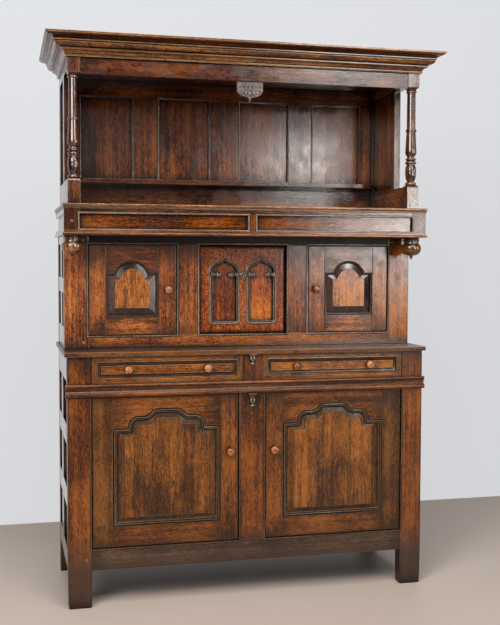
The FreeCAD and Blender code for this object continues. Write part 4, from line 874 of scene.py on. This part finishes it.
def makeDrawer(label, side):
    xs, ys, zs = drawer["xs"], drawer["ys"], drawer["zs"]
    front = addBlock(*mirrorBox(side, (xs[0], ys[0], zs[0]), (xs[1], ys[1], zs[1])))
    pick(front, "FACE", lambda centre, normal: normal.y < -0.9)
    for inward, rise in drawer["steps"]:
        bpy.ops.mesh.inset(thickness=inward * mm, depth=rise * mm)
    leaveEdit()
    measureBoard(front)
    front.data.materials.append(oak("drawer", "x"))
    # the groove's faces are painted dark as its shade
    shadeBand(front, "mould", "x", "y", *[ys[0] + depth for depth in drawer["groove"]])
    finishPiece(label + "DrawerFront", [front], angle=20, body=label + "_drawer")
    places = [(x * side, ys[0] + 1, drawer["knobHeight"]) for x in drawer["knobs"]]
    makeKnobs(label + "DrawerKnobs", places, label + "_drawer", label + "_drawer_knobs")


# Doors

# moulding round the inside of a door's opening: a quirk, a bead, a quirk and an ovolo
doorMould = [
    (-1, -14), (-1, 0.1), (0, 0.1), (0.8, -4.5), (3.2, -4.5), (4, -0.4), (5, 1.2), (6.8, 1.8), (8.6, 1.1),
    (9.6, -0.8), (10, -4.4), (12, -4.4), (12.6, -1.8), (15, -2), (17.6, -3.8), (19.2, -6.6), (20.6, -8.6),
    (20.8, -14),
]
doorQuirk = (2.2, 4.6)  # mm behind the door's face, where the moulding's quirks are painted black as their shade
lowerDoor = {
    "xs": (53.5, 591.5),
    "zs": (219.5, 765.5),
    "face": -237,
    "thick": 24,
    "open": (119.5, 518.5),
    "railTop": 293.5,
    "knob": (84.5, 552),
    # the right half of the opening and of the field, from the middle of the opening
    "opening": [
        (199.5, 293.5), (199.5, 652.5), (145.5, 652.5), (111.5, 696.5, 0.35), (83.5, 696.5),
        (61, 709.5, -0.22), (38.5, 722.5, 0.22),
    ],
    "field": [
        (155.5, 325.5), (155.5, 625.5), (109.5, 625.5), (99.5, 661.5, 0.35), (63.5, 661.5),
        (51.5, 671, -0.18), (37.5, 685.5, -0.17),
    ],
    "finish": "door",
    "hingeFinish": "hinge",
    "fieldFinish": "panel",
    "bevelFinish": "hinge",
    "mouldFinish": "mould",
    "mouldShare": 1,
}
middleDoor = {
    "xs": (262.5, 588.5),
    "zs": (982.5, 1317.5),
    "face": -91,
    "thick": 24,
    "open": (328.5, 527.5),
    "railTop": 1047.5,
    "knob": (292.5, 1150),
    "opening": [(99.5, 1047.5), (99.5, 1214.5), (66.5, 1214.5), (0, 1260.5, 0.32)],
    "field": [(64.5, 1082), (64.5, 1188), (47, 1188), (0, 1230, 0.32)],
    "finish": "middle",
    "hingeFinish": "middle",
    "fieldFinish": "field",
    "bevelFinish": "bevel",
    "mouldFinish": "bevel",
    "mouldShare": 0.48,
}
# height over the door's face of the panel's groove, bed, the edge of its field and the field,
# and how far the groove and the foot of the edge lie outside
fieldRise = {"groove": -17, "bed": -11, "foot": -4.4, "top": -0.4}
fieldOut = {"groove": 3, "foot": 1.6}


def grown(points, out):
    # moves an outline's half outwards by the same amount to each side
    moved = []
    for index, (x, z, *bulge) in enumerate(points):
        moved.append((x + (out if x else 0), z + (out if index else -out), *bulge))
    return moved


def makeDoor(stage, label, side, door):
    name = stage + label.capitalize() + "Door"
    body = stage + "_" + label + "_door"
    (near, far), (low, high) = door["xs"], door["zs"]
    face, back = door["face"], door["face"] + door["thick"]
    openNear, openFar = door["open"]
    centre = (openNear + openFar) / 2 * side
    finish = door["finish"]
    parts = []
    boards = [(near, openNear, high), (openFar, far, high), (openNear, openFar, door["railTop"])]
    for (start, end, top), tone in zip(boards, (finish, door["hingeFinish"], finish)):
        board = addBoard(*mirrorBox(side, (start, face, low), (end, back, top)), tone, 2.2)
        # the board's sides and rounded edges are painted black as the shade in the gap round the door
        parts.append(shadeFaces(board, "shadow", "z", notFront))
    opening = mirrorOutline(door["opening"])
    head = [(centre + point[0], point[1]) for point in opening[1:-1]]
    head += [(x * side, high) for x in door["open"][::side]]
    headBoard = cutBoard(head, door["thick"], "front", (0, face, 0), 1)
    measureBoard(headBoard)
    wearOak(headBoard, finish, "x")
    # the head board's sides are painted black as the shade in the gap
    parts.append(shadeFaces(headBoard, "shadow", "x", notFront))
    section = [(u * door["mouldShare"], v) for u, v in doorMould]
    mould = sweep(shifted(opening, centre), section, "front", (0, face, 0))
    wearOak(mould, door["mouldFinish"], "x")
    parts.append(shadeBand(mould, "shadow", "x", "y", *[face + depth for depth in doorQuirk]))
    finishPiece(name + "Frame", parts, body=body)
    bed = grown(door["opening"], fieldOut["groove"])
    step = grown(door["field"], fieldOut["foot"])
    loops = zip((bed, bed, step, door["field"]), fieldRise.values())
    loops = [(shifted(mirrorOutline(half), centre), height) for half, height in loops]
    panel = fieldedPanel(loops, "front", (0, face, 0))
    measureBoard(panel)
    wearOak(panel, door["fieldFinish"], "z")
    flat = face - fieldRise["top"]
    edge = face - (fieldRise["top"] + fieldRise["foot"]) / 2
    # the faces below the flat field take the darker bevel tone, and the field's step the mould tone:
    # painted shade
    shadeFaces(panel, door["bevelFinish"], "z", lambda centre, normal: centre.y / mm > flat + 0.1)
    shadeFaces(panel, "mould", "z", lambda centre, normal: abs(centre.y / mm - edge) < 1)
    finishPiece(name + "Panel", [panel], 8, body)
    knobPlace = (door["knob"][0] * side, face, door["knob"][1])
    makeKnobs(name + "Knob", [knobPlace], stage + "_" + label + "_turn", stage + "_" + label + "_knob")


for label, side in sides.items():
    makeDrawer(label, side)
    makeDoor("lower", label, side, lowerDoor)
    makeDoor("middle", label, side, middleDoor)
print("drawers and doors")


# Middle stage

middleSide = {
    "rails": [(931, 1012), (1138, 1195), (1321, 1351)],
    "muntin": (37, 117),
    "depth": (-48, 234),
    "thick": (654, 680),
    "panels": (663, 671),
    "groove": 8,
}
middleBoards = {
    "posts": ((591, -93, 931), (680, -48, 1351)),
    "muntins": ((172, -93, 980), (260, -63, 1320)),
    "sillRail": ((-591, -93, 931), (591, -63, 980)),
    "topRail": ((-591, -93, 1320), (591, -63, 1351)),
    "openings": [(260, 980, 591, 1320), (-591, 980, -260, 1320), (-172, 980, 172, 1320)],
    "face": -93,
}
dressBoards("middlePosts", bothSides(*middleBoards["posts"]), "middle", wear=2)
dressBoards("middleMuntins", bothSides(*middleBoards["muntins"]), "middle", black=True)
dressBoards("middleSillRail", [middleBoards["sillRail"]], "middle")
# the top rail under the frieze's overhang is painted black as its shade
dressBoards("middleTopRail", [middleBoards["topRail"]], "shadow")
parts = sideBoards(-1, middleSide, "side") + sideBoards(1, middleSide, "side")
finishPiece("middleSideFrames", parts)
dressBoards("middleSidePanels", sidePanelBoards(middleSide), "side", wear=0.8)
finishPiece("middleBeads", beadsRound(middleBoards["openings"], middleBoards["face"]), nodes=[])

# two ogee headed lights sunk in one panel, with beads, turned cusps and a boss between
carved = {
    "half": 172,
    "zs": (980, 1320),
    "face": -87,
    "thick": 18,
    "margin": 20,
    "slope": 9,
    "centres": (-73, 73),
    # the right half of a light from its middle: a rounded foot, a jamb and an ogee head
    "light": [
        (42, 1026), (50, 1034, 0.41), (50, 1200), (54, 1212, -0.2), (49, 1232, 0.16), (20, 1250, 0.25),
        (0, 1266, -0.15),
    ],
    "depth": 13,
    "bed": [(1, -14), (0.96, -12)],  # share of the light, height
    "bead": [
        (-11.4, -1), (-11.4, 0), (-10.8, -1.6), (-10, 0.6), (-8.6, 4), (-6.2, 5.4), (-3.8, 4.2), (-2.8, 1),
        (-2, -1.4), (-1.2, 1.4), (0.6, 2.8), (2.2, 1), (2.4, -4), (-1, -4), (-1, -1),
    ],
    "cusp": [
        (0, -2), (10.5, -2), (10.5, 4), (7, 6), (9, 9), (7, 12), (5, 14), (7.4, 17), (9.6, 21), (9, 25),
        (5.4, 28), (4.4, 30), (7, 32), (7, 34), (4, 36), (0, 37),
    ],
    "cuspHeight": 1206,
    "cuspFoot": 51,  # from the middle of a light
    "boss": [
        (0, 6), (3, 5.6), (4.4, 3.4), (5.6, 2), (7, 4.6), (9, 5.4), (11.4, 4), (12, 1.4), (12, -1), (0, -1),
    ],
}


def lightOutline(share=1):
    middle = (carved["light"][0][1] + carved["light"][1][1]) / 2
    half = [(x * share, middle + (z - middle) * share, *rest) for x, z, *rest in carved["light"]]
    return mirrorOutline(half)


def makeCarvedPanel():
    face = carved["face"]
    low, high = carved["zs"]
    half, margin = carved["half"], carved["margin"]
    board = addBlock((-half, face, low), (half, face + carved["thick"], high))
    pick(board, "FACE", lambda centre, normal: normal.y < -0.9)
    bpy.ops.mesh.inset(thickness=margin * mm, depth=0)
    leaveEdit()
    wide, top, foot = (half - 3) * mm, (high - 3) * mm, (low + 3) * mm

    def rim(point):
        return point.y < (face + 1) * mm and (abs(point.x) > wide or point.z > top or point.z < foot)

    pick(board, "VERT", rim)
    bpy.ops.transform.translate(value=(0, carved["slope"] * mm, 0))
    leaveEdit()
    parts, trims, cusps = [], [], []
    for centre in carved["centres"]:
        cutter = cutBoard(shifted(lightOutline(), centre), carved["depth"] + 2, "front", (0, face - 2, 0))
        applyModifier(board, "BOOLEAN", {"object": cutter, "operation": "DIFFERENCE"})
        bpy.data.objects.remove(cutter)
        loops = [(lightOutline(share), height) for share, height in carved["bed"]]
        loops = [(shifted(outline, centre), height) for outline, height in loops]
        parts.append(fieldedPanel(loops, "front", (0, face, 0)))
        trims.append(sweep(shifted(lightOutline(), centre), carved["bead"], "front", (0, face, 0)))
        for toward in (-1, 1):
            place = (centre + carved["cuspFoot"] * toward, face - 1, carved["cuspHeight"])
            cusps.append(turnAt(carved["cusp"], 24, (0, 0, 90 * toward), place))
    trims.append(turnAt(carved["boss"], 32, facingFront, (0, face, carved["cuspHeight"])))
    # the ground, the sunk lights, their beads with the boss, and the cusps
    for group, finish in (([board], "carved"), (parts, "recess"), (trims, "bead"), (cusps, "cusp")):
        for part in group:
            wearOak(part, finish, "z")
    finishPiece("carvedPanel", [board] + parts + trims + cusps, angle=25)


makeCarvedPanel()
print("middle stage")


# Frieze

frieze = {
    "half": 688,
    "front": (-239, -209),
    "back": 279,
    "lowRail": (1351, 1374),
    "highRail": (1426, 1449),
    "endBlock": 632,
    "centreBlock": 18.5,
    "thick": 26,
    "longPanel": ((18.5, -228, 1366), (632, -220, 1434)),
    "sidePanel": ((671, -215, 1366), (679, 265, 1434)),
    "backBoard": ((-662, 255, 1363), (662, 279, 1449)),
    "openings": [(18.5, 1374, 632, 1426), (-632, 1374, -18.5, 1426)],
    "peg": [(0, 1.8), (3.4, 1.6), (4.8, 0.4), (4.8, -1), (0, -1)],
}


def makeFrieze():
    half, (front, inside) = frieze["half"], frieze["front"]
    end, middle = frieze["endBlock"], frieze["centreBlock"]
    low, high = frieze["lowRail"], frieze["highRail"]
    boards = [((-end, front, foot), (end, inside, top)) for foot, top in (low, high)]
    boards.append(((-middle, front, low[1]), (middle, inside, high[0])))
    for foot, top in (low, high):
        boards += bothSides((half - frieze["thick"], inside, foot), (half, frieze["back"], top))
    blocks = bothSides((end, front, low[0]), (half, inside, high[1]))
    parts = [addBoard(a, b, "frieze", 1) for a, b in boards]
    parts += [addBoard(a, b, "canopy", 1) for a, b in blocks]
    for side in sides.values():
        place = ((end + half) / 2 * side, front, (low[1] + high[0]) / 2)
        parts.append(wearOak(turnAt(frieze["peg"], 16, facingFront, place), "cusp", "y"))
    finishPiece("friezeFrame", parts)


makeFrieze()
boards = bothSides(*frieze["longPanel"]) + bothSides(*frieze["sidePanel"]) + [frieze["backBoard"]]
dressBoards("friezePanels", boards, "frieze", wear=0.8)

friezeMoulds = {
    "track": [(688, 279), (688, -239), (-688, -239), (-688, 279)],
    "lip": [
        (-1, 0), (3.4, 0), (5.2, 1), (6, 2.8), (6, 5.2), (5, 7.2), (2.6, 8.6), (1.2, 9), (0.9, 17),
        (-1, 18),
    ],
    "lipFoot": 1351,
    "crown": [
        (-1, 0), (2, 0), (2.7, 3), (2, 6), (1.4, 7.4), (4.6, 9), (5.7, 12), (5.7, 15), (4.6, 17), (3, 18),
        (-1, 18),
    ],
    "crownFoot": 1445,
    "dark": (1444, 1453.5),  # the lower band of the crown, painted darker as its shade
    "lipZs": (1350, 1375),
}
parts = beadsRound(frieze["openings"], frieze["front"][0])
for mould in ("lip", "crown"):
    place = (0, 0, friezeMoulds[mould + "Foot"])
    strip = wearOak(sweep(friezeMoulds["track"], friezeMoulds[mould], "up", place, False), "crown", "x")
    shadeBand(strip, "mould", "x", "z", *friezeMoulds["dark"])
    parts.append(shadeBand(strip, "frieze", "x", "z", *friezeMoulds["lipZs"]))
finishPiece("friezeMouldings", parts)

canopyFloor = {"half": 688, "front": -239, "back": 279, "low": 1449, "high": 1463}
dressBoards("canopyFloorBoards", splitBoards(**canopyFloor), "frieze", wear=1.2)

# pendants: two discs, a squashed ball and a small finial with its own disc
pendant = {
    "place": (655, -178, 1351),
    "profile": [
        (0, -84), (3, -83, 0.2), (4, -80, 0.2), (3.4, -78), (6.4, -76, 0.3), (7, -73.4, 0.3), (5, -71),
        (10, -69.4), (20, -67, 0.1), (31, -60.5, 0.16), (37, -50, 0.16), (38, -40, 0.1), (36, -30, 0.12),
        (33, -25.6, 0.2), (30.5, -24.4), (29.2, -21), (29.2, -14), (30.6, -12.6), (31.4, -10, 0.4),
        (30.4, -7.6, 0.4), (27.6, -7), (27.6, -6), (31, -5, 0.4), (31, -1.4, 0.4), (22, 0), (0, 0),
    ],
}


def turnedPair(values, finish):
    x, y, z = values["place"]
    parts = []
    for side in sides.values():
        turned = turnAt(roundedPath(values["profile"], steps=5), 48, standing, (x * side, y, z))
        parts.append(wearOak(turned, finish, "z"))
    return parts


finishPiece("pendants", turnedPair(pendant, "pendant"), angle=40)
print("frieze")


# Canopy

column = {
    "xs": (626, 672),
    "ys": (-201, -155),
    "plinth": (1463, 1556),
    "head": (1925, 1983),
    "shoulder": 10,
    "worn": 0.8,
    "place": (649, -178, 1556),
    # radius and height above the plinth, after the turning of the photograph
    "profile": [
        (0, 0), (20, 0), (21.4, 5, 0.3), (19, 10, 0.3), (14.5, 12, -0.2), (14.5, 16), (19.5, 30, 0.12),
        (20.8, 50, 0.08), (19.6, 70, 0.08), (16, 77, 0.2), (16, 80), (21.5, 86, 0.45), (16, 92, 0.45),
        (15, 95), (20.5, 99.5, 0.5), (14.2, 104, 0.5), (14, 110), (21.6, 130, 0.25), (21.2, 140, 0.05),
        (17.6, 205), (20.8, 210, 0.5), (17.2, 215.5, 0.5), (16.8, 220), (16.2, 354), (20.3, 359, 0.45),
        (15.8, 363.5, 0.45), (20.2, 366.8, 0.3), (16.6, 369, 0.2), (0, 369),
    ],
}


def makeColumns():
    parts = turnedPair(column, "column")
    (near, far), (front, back) = column["xs"], column["ys"]
    for side in sides.values():
        for low, high, top in ((*column["plinth"], True), (*column["head"], False)):
            block = addBlock(*mirrorBox(side, (near, front, low), (far, back, high)))
            level = (high if top else low) * mm
            pick(block, "EDGE", lambda a, b: atLevel(a, level) and atLevel(b, level))
            bpy.ops.mesh.bevel(offset=column["shoulder"] * mm, segments=3 if top else 4)
            leaveEdit()
            roundEdges(block, column["worn"])
            parts.append(wearOak(block, "column", "z"))
    finishPiece("columns", parts)


makeColumns()
upperSide = {
    # the lower and upper rail, the front and back post of the right side
    "frame": [
        ((646, -155, 1463), (672, 234, 1553)), ((646, -155, 1943), (672, 234, 1983)),
        ((646, -13, 1553), (672, 31, 1943)), ((646, 234, 1463), (672, 279, 1983)),
    ],
    "panel": ((655, 23, 1545), (663, 242, 1951)),
}
boards = [board for corners in upperSide["frame"] for board in bothSides(*corners)]
# the canopy's sides take the darker inner tone: partly painted shade
dressBoards("upperSideFrames", boards, "inner")
dressBoards("upperSidePanels", bothSides(*upperSide["panel"]), "inner", 0.6)

upperBack = {
    "ys": (253, 279),
    "panelYs": (262, 270),
    "half": 646,
    "lowRail": (1463, 1584),
    "highRail": (1915, 1983),
    "middle": 67,
    "uprights": [(271.5, 383.5), (588, 646)],
    "panels": [(67, 271.5), (383.5, 588)],
    "groove": 8,
}


def makeUpperBack():
    (near, far), half, middle = upperBack["ys"], upperBack["half"], upperBack["middle"]
    low, high, groove = upperBack["lowRail"], upperBack["highRail"], upperBack["groove"]
    # the rails take the darker inner tone: partly painted shade
    parts = [addBoard((-half, near, foot), (half, far, top), "inner", 1.4) for foot, top in (low, high)]
    uprights = [((-middle, near, low[1]), (middle, far, high[0]))]
    for start, end in upperBack["uprights"]:
        uprights += bothSides((start, near, low[1]), (end, far, high[0]))
    parts += [addBoard(a, b, "back", 1.4) for a, b in uprights]
    for start, end in upperBack["panels"]:
        for side in sides.values():
            left, right = sorted([start * side, end * side])
            parts.append(beadRound(rectangle(left, low[1], right, high[0]), near))
    finishPiece("upperBackFrame", parts)
    panelBoards = []
    front, back = upperBack["panelYs"]
    foot, top = low[1] - groove, high[0] + groove
    for start, end in upperBack["panels"]:
        panelBoards += bothSides((start - groove, front, foot), (end + groove, back, top))
    dressBoards("upperBackPanels", panelBoards, "back", 0.8)


makeUpperBack()

shelf = {"half": 646, "ys": (151, 253), "top": 1583, "thick": 18, "corner": 80}
(near, far), half, corner = shelf["ys"], shelf["half"], shelf["corner"]
outline = roundedPath([
    (-half + corner, near), (half - corner, near), (half, near + corner, quarterBulge), (half, far),
    (-half, far), (-half, near + corner), (-half + corner, near, quarterBulge),
])
board = wearOak(cutBoard(outline[:-1], shelf["thick"], "up", (0, 0, shelf["top"]), 2), "canopy", "x")
finishPiece("shelf", [board])
canopyRail = ((-626, -198, 1925), (626, -172, 1983))
dressBoards("canopyFrontRail", [canopyRail], "canopy", 2)

# the shield under the rail: upright flutes over a thin bar, round leaves below, a small foot
drop = {
    "ys": (-193, -177),
    "shape": [
        (50, 1925), (-50, 1925), (-49, 1893), (-40, 1876.5, 0.25), (-16, 1868, 0.12), (-6, 1863.5, -0.2),
        (0, 1849), (6, 1863.5), (16, 1868, -0.2), (40, 1876.5, 0.12), (49, 1893, 0.25),
    ],
    "flutes": {"count": 6, "pitch": 15.2, "height": 1910.5, "half": (6.2, 12), "relief": 4.6},
    # x, z, half width, half height and height of relief
    "leaves": [
        (0, 1894.5, 47, 1.8, 3.4), (0, 1879, 9, 12, 5), (-15.5, 1881, 7, 10, 4.4),
        (15.5, 1881, 7, 10, 4.4), (-29.5, 1883.5, 7, 8, 4.4), (29.5, 1883.5, 7, 8, 4.4),
        (-41, 1887, 5, 5.6, 3.6), (41, 1887, 5, 5.6, 3.6), (0, 1861, 4.4, 8, 3.6),
    ],
}


def makeDrop():
    front, back = drop["ys"]
    parts = [cutBoard(roundedPath(drop["shape"]), back - front, "front", (0, front, 0), 2)]
    flutes, rolls = drop["flutes"], list(drop["leaves"])
    for index in range(flutes["count"]):
        x = (index - (flutes["count"] - 1) / 2) * flutes["pitch"]
        rolls.append((x, flutes["height"], *flutes["half"], flutes["relief"]))
    for x, z, wide, high, relief in rolls:
        parts.append(addBall((x, front, z), (wide, relief, high), 20, 12))
    for part in parts:
        wearOak(part, "drop", "z", False)
    finishPiece("centreDrop", parts, 60)


makeDrop()

# cornice, outwards and upwards: fillet, cove, steps and a hollow under the top edge
cornice = {
    "track": [(672, 279), (672, -201), (-672, -201), (-672, 279)],
    "foot": 1983,
    "section": [
        (-26, 0), (7, 0), (8.6, 3), (8.6, 7), (6.4, 8.4), (8, 10), (24, 22, -0.28), (26, 22.4),
        (26, 26.6), (22.6, 28), (24.6, 30), (47, 43, 0.34), (47, 44.6), (43.6, 46.4), (46.6, 48),
        (49.6, 48.6), (49.6, 52.4), (46.8, 54), (50, 56), (62, 61, -0.2), (74, 66.4, 0.2), (75, 68),
        (78, 68.6), (78, 75), (-26, 75),
    ],
    # the quirks are painted black and the cyma under the top edge darker, as their shade
    "tones": [
        (7, 10, "shadow"), (26.8, 30, "shadow"), (45, 48, "shadow"), (52.6, 56, "shadow"),
        (56, 66, "canopy"),
    ],
}
section = roundedPath(cornice["section"], steps=5)
mould = wearOak(sweep(cornice["track"], section, "up", (0, 0, cornice["foot"]), False), "cornice", "x")
for low, high, finish in cornice["tones"]:
    shadeBand(mould, finish, "x", "z", low + cornice["foot"], high + cornice["foot"])
finishPiece("cornice", [mould], 25)
canopyTop = {"half": 646, "front": -175, "back": 279, "low": 1983, "high": 1997}
dressBoards("canopyTopBoards", splitBoards(**canopyTop), "canopy", 1.2)
print("canopy")


# Parts that keep their CAD shape

unpolished = {
    "base_back_boards": "z", "middle_back_boards": "z", "middle_back_frame": "z", "base_back_rails": "x",
    "base_floor_boards": "y", "drawer_runners": "y", "soffit_boards": "x", "left_drawer_box": "y",
    "right_drawer_box": "y",
}
for node, grain in unpolished.items():
    wearOak(cadNodes[node], "secondary", grain, False)
wearOak(cadNodes["joint_pegs"], "cusp", "y", False)
cadNodes["hinge_pins"].data.materials.clear()
cadNodes["hinge_pins"].data.materials.append(makeIron())


# Room, camera and light

def plainMaterial(name, colour, roughness, patch, glow, glowColour="#ffffff"):
    # a painted wall or a tiled floor, plain but for very faint clouds of tone
    material, tree, shader = newMaterial(name)
    place = objectPlace(tree)
    cloud = noise(tree, place, {"Scale": 1 / patch, "Detail": 3})
    base = hexToLinear(colour)[:3]
    darker = [value * 0.94 for value in base] + [1]
    lighter = [min(1, value * 1.05) for value in base] + [1]
    tree.links.new(noiseRamp(tree, cloud, darker, lighter), shader.inputs["Base Color"])
    shader.inputs["Roughness"].default_value = roughness
    shader.inputs["Emission Color"].default_value = hexToLinear(glowColour)
    shader.inputs["Emission Strength"].default_value = glow
    return material


def seeThroughFromBehind(material):
    # a view from behind the wall looks through it at the cupboard's back
    tree = material.node_tree
    geometry = addNode(tree, "NewGeometry", {})
    clear = addNode(tree, "BsdfTransparent", {})
    mix = addNode(tree, "MixShader", {}, [("Fac", geometry.outputs["Backfacing"])])
    tree.links.new(tree.nodes["Principled BSDF"].outputs[0], mix.inputs[1])
    tree.links.new(clear.outputs[0], mix.inputs[2])
    tree.links.new(mix.outputs[0], tree.nodes["Material Output"].inputs["Surface"])
    return material


room = {"floor": (-6, 6), "half": 7, "wall": 1.02, "wallTop": 4}
deselectAll()
bpy.ops.mesh.primitive_plane_add(size=1, location=(0, sum(room["floor"]) / 2, 0))
floor = bpy.context.active_object
floor.scale = (room["half"] * 2, room["floor"][1] - room["floor"][0], 1)
settle(floor)
floor.name = "roomFloor"
floor.data.materials.append(plainMaterial("glazedFloorTile", "#d6c4b6", 0.55, 0.6, 0))
deselectAll()
bpy.ops.mesh.primitive_plane_add(size=1, location=(0, room["wall"], room["wallTop"] / 2))
wall = bpy.context.active_object
wall.rotation_euler.x = math.radians(90)
wall.scale = (room["half"] * 2, room["wallTop"], 1)
settle(wall)
wall.name = "roomWall"
wall.visible_diffuse = False  # the backdrop is lit for the camera and doesn't light the floor
wall.visible_shadow = False
if wall.data.polygons[0].normal.y > 0:
    wall.data.flip_normals()
paint = plainMaterial("litBackdropPaint", "#6f7173", 0.95, 1.5, 0.6, "#fafbff")
wall.data.materials.append(seeThroughFromBehind(paint))

# fitted to points of the photograph, in metres, degrees and mm
view = {
    "place": (-0.9075, -3.8653, 1.2617),
    "turn": (90 - 2.96, -0.17, -13.9),
    "lens": 58.07,
    "sensor": 36,
    "far": 50,
}
camera = bpy.data.objects.new("camera", bpy.data.cameras.new("camera"))
bpy.context.scene.collection.objects.link(camera)
camera.location = view["place"]
camera.rotation_euler = [math.radians(angle) for angle in view["turn"]]
camera.data.lens = view["lens"]
camera.data.sensor_width = view["sensor"]
camera.data.clip_end = view["far"]
camera.data.dof.use_dof = False
bpy.context.scene.camera = camera

# place, width and height, and the point that each faces, in m, and its power in W
# all but the last four stand behind the camera
lights = {
    "windowLow": ((2.62, -5.3, 1.32), (1.15, 0.26), (0.4, 0, 1.3), 38),
    "windowMid": ((2.95, -5.3, 1.6), (0.5, 0.3), (0.4, 0, 1.3), 9),
    "windowHigh": ((2.08, -5.3, 2.26), (0.62, 0.4), (0.4, 0, 1.6), 18),
    "windowEdge": ((2.84, -5.3, 2.2), (0.2, 0.8), (0.7, 0, 1.7), 14),
    "windowArch": ((2.3, -5.3, 3.5), (1.3, 0.7), (0.4, 0, 1.2), 85),
    "doorway": ((0.05, -5.3, 1.02), (0.9, 0.7), (0, 0, 1.2), 2.4),
    "roomGlow": ((0.05, -5.3, 2.35), (1.1, 0.6), (0, 0, 1.7), 1.5),
    "leftWindow": ((-2.5, -5.3, 2.75), (2.2, 1.4), (-0.4, 0, 1.6), 52),
    "leftWall": ((-2.4, -5.3, 1.2), (2.4, 1.6), (-0.4, 0, 1.2), 14),
    "sideWindow": ((5.2, -3, 1.9), (1.6, 1.6), (0.4, 0, 1.6), 60),
    "fill": ((-2.8, -3.4, 2.9), (1.6, 1.6), (0, 0, 1.2), 90),
    "top": ((-0.3, -2.9, 4.4), (4, 3), (0, 0, 0.8), 190),
    "behind": ((0, 0.98, 1.1), (1, 1.5), (0, 0, 1.1), 6),
}
spreads = {"behind": 30}  # degrees; the others spread all round
lit = ("fill", "top", "behind")  # the other lamps show in the wax, but light nothing
warmTint = (1, 0.97, 0.94)
lampTints = {"leftWindow": (0.86, 0.93, 1), "leftWall": (0.8, 0.9, 1), "doorway": (0.85, 0.92, 1)}
for name, (place, size, target, power) in lights.items():
    lamp = bpy.data.lights.new(name, "AREA")
    lamp.shape = "RECTANGLE"
    lamp.size, lamp.size_y = size
    lamp.energy = power
    lightObject = bpy.data.objects.new(name, lamp)
    bpy.context.scene.collection.objects.link(lightObject)
    lightObject.location = place
    lightObject.visible_diffuse = name in lit
    lightObject.visible_camera = False
    lamp.spread = math.radians(spreads.get(name, 180))
    lamp.color = (1, 1, 1) if name in lit else lampTints.get(name, warmTint)
    reach = [b - a for a, b in zip(place, target)]
    tilt = math.atan2(math.hypot(reach[0], reach[1]), -reach[2])
    lightObject.rotation_euler = (tilt, 0, math.atan2(reach[1], reach[0]) - math.pi / 2)

world = bpy.data.worlds.new("softRoom")
bpy.context.scene.world = world
world.use_nodes = True
sky = world.node_tree
sky.nodes["Background"].inputs["Color"].default_value = (0.93, 0.96, 1, 1)
seen = addNode(sky, "LightPath", {}).outputs["Is Camera Ray"]
strength = mapRange(sky, seen, {"To Min": 0.07, "To Max": 0.7})  # dim, but pale where it shows
sky.links.new(strength, sky.nodes["Background"].inputs["Strength"])
world.cycles_visibility.glossy = False
bpy.context.scene.view_settings.view_transform = "Standard"
print("room")
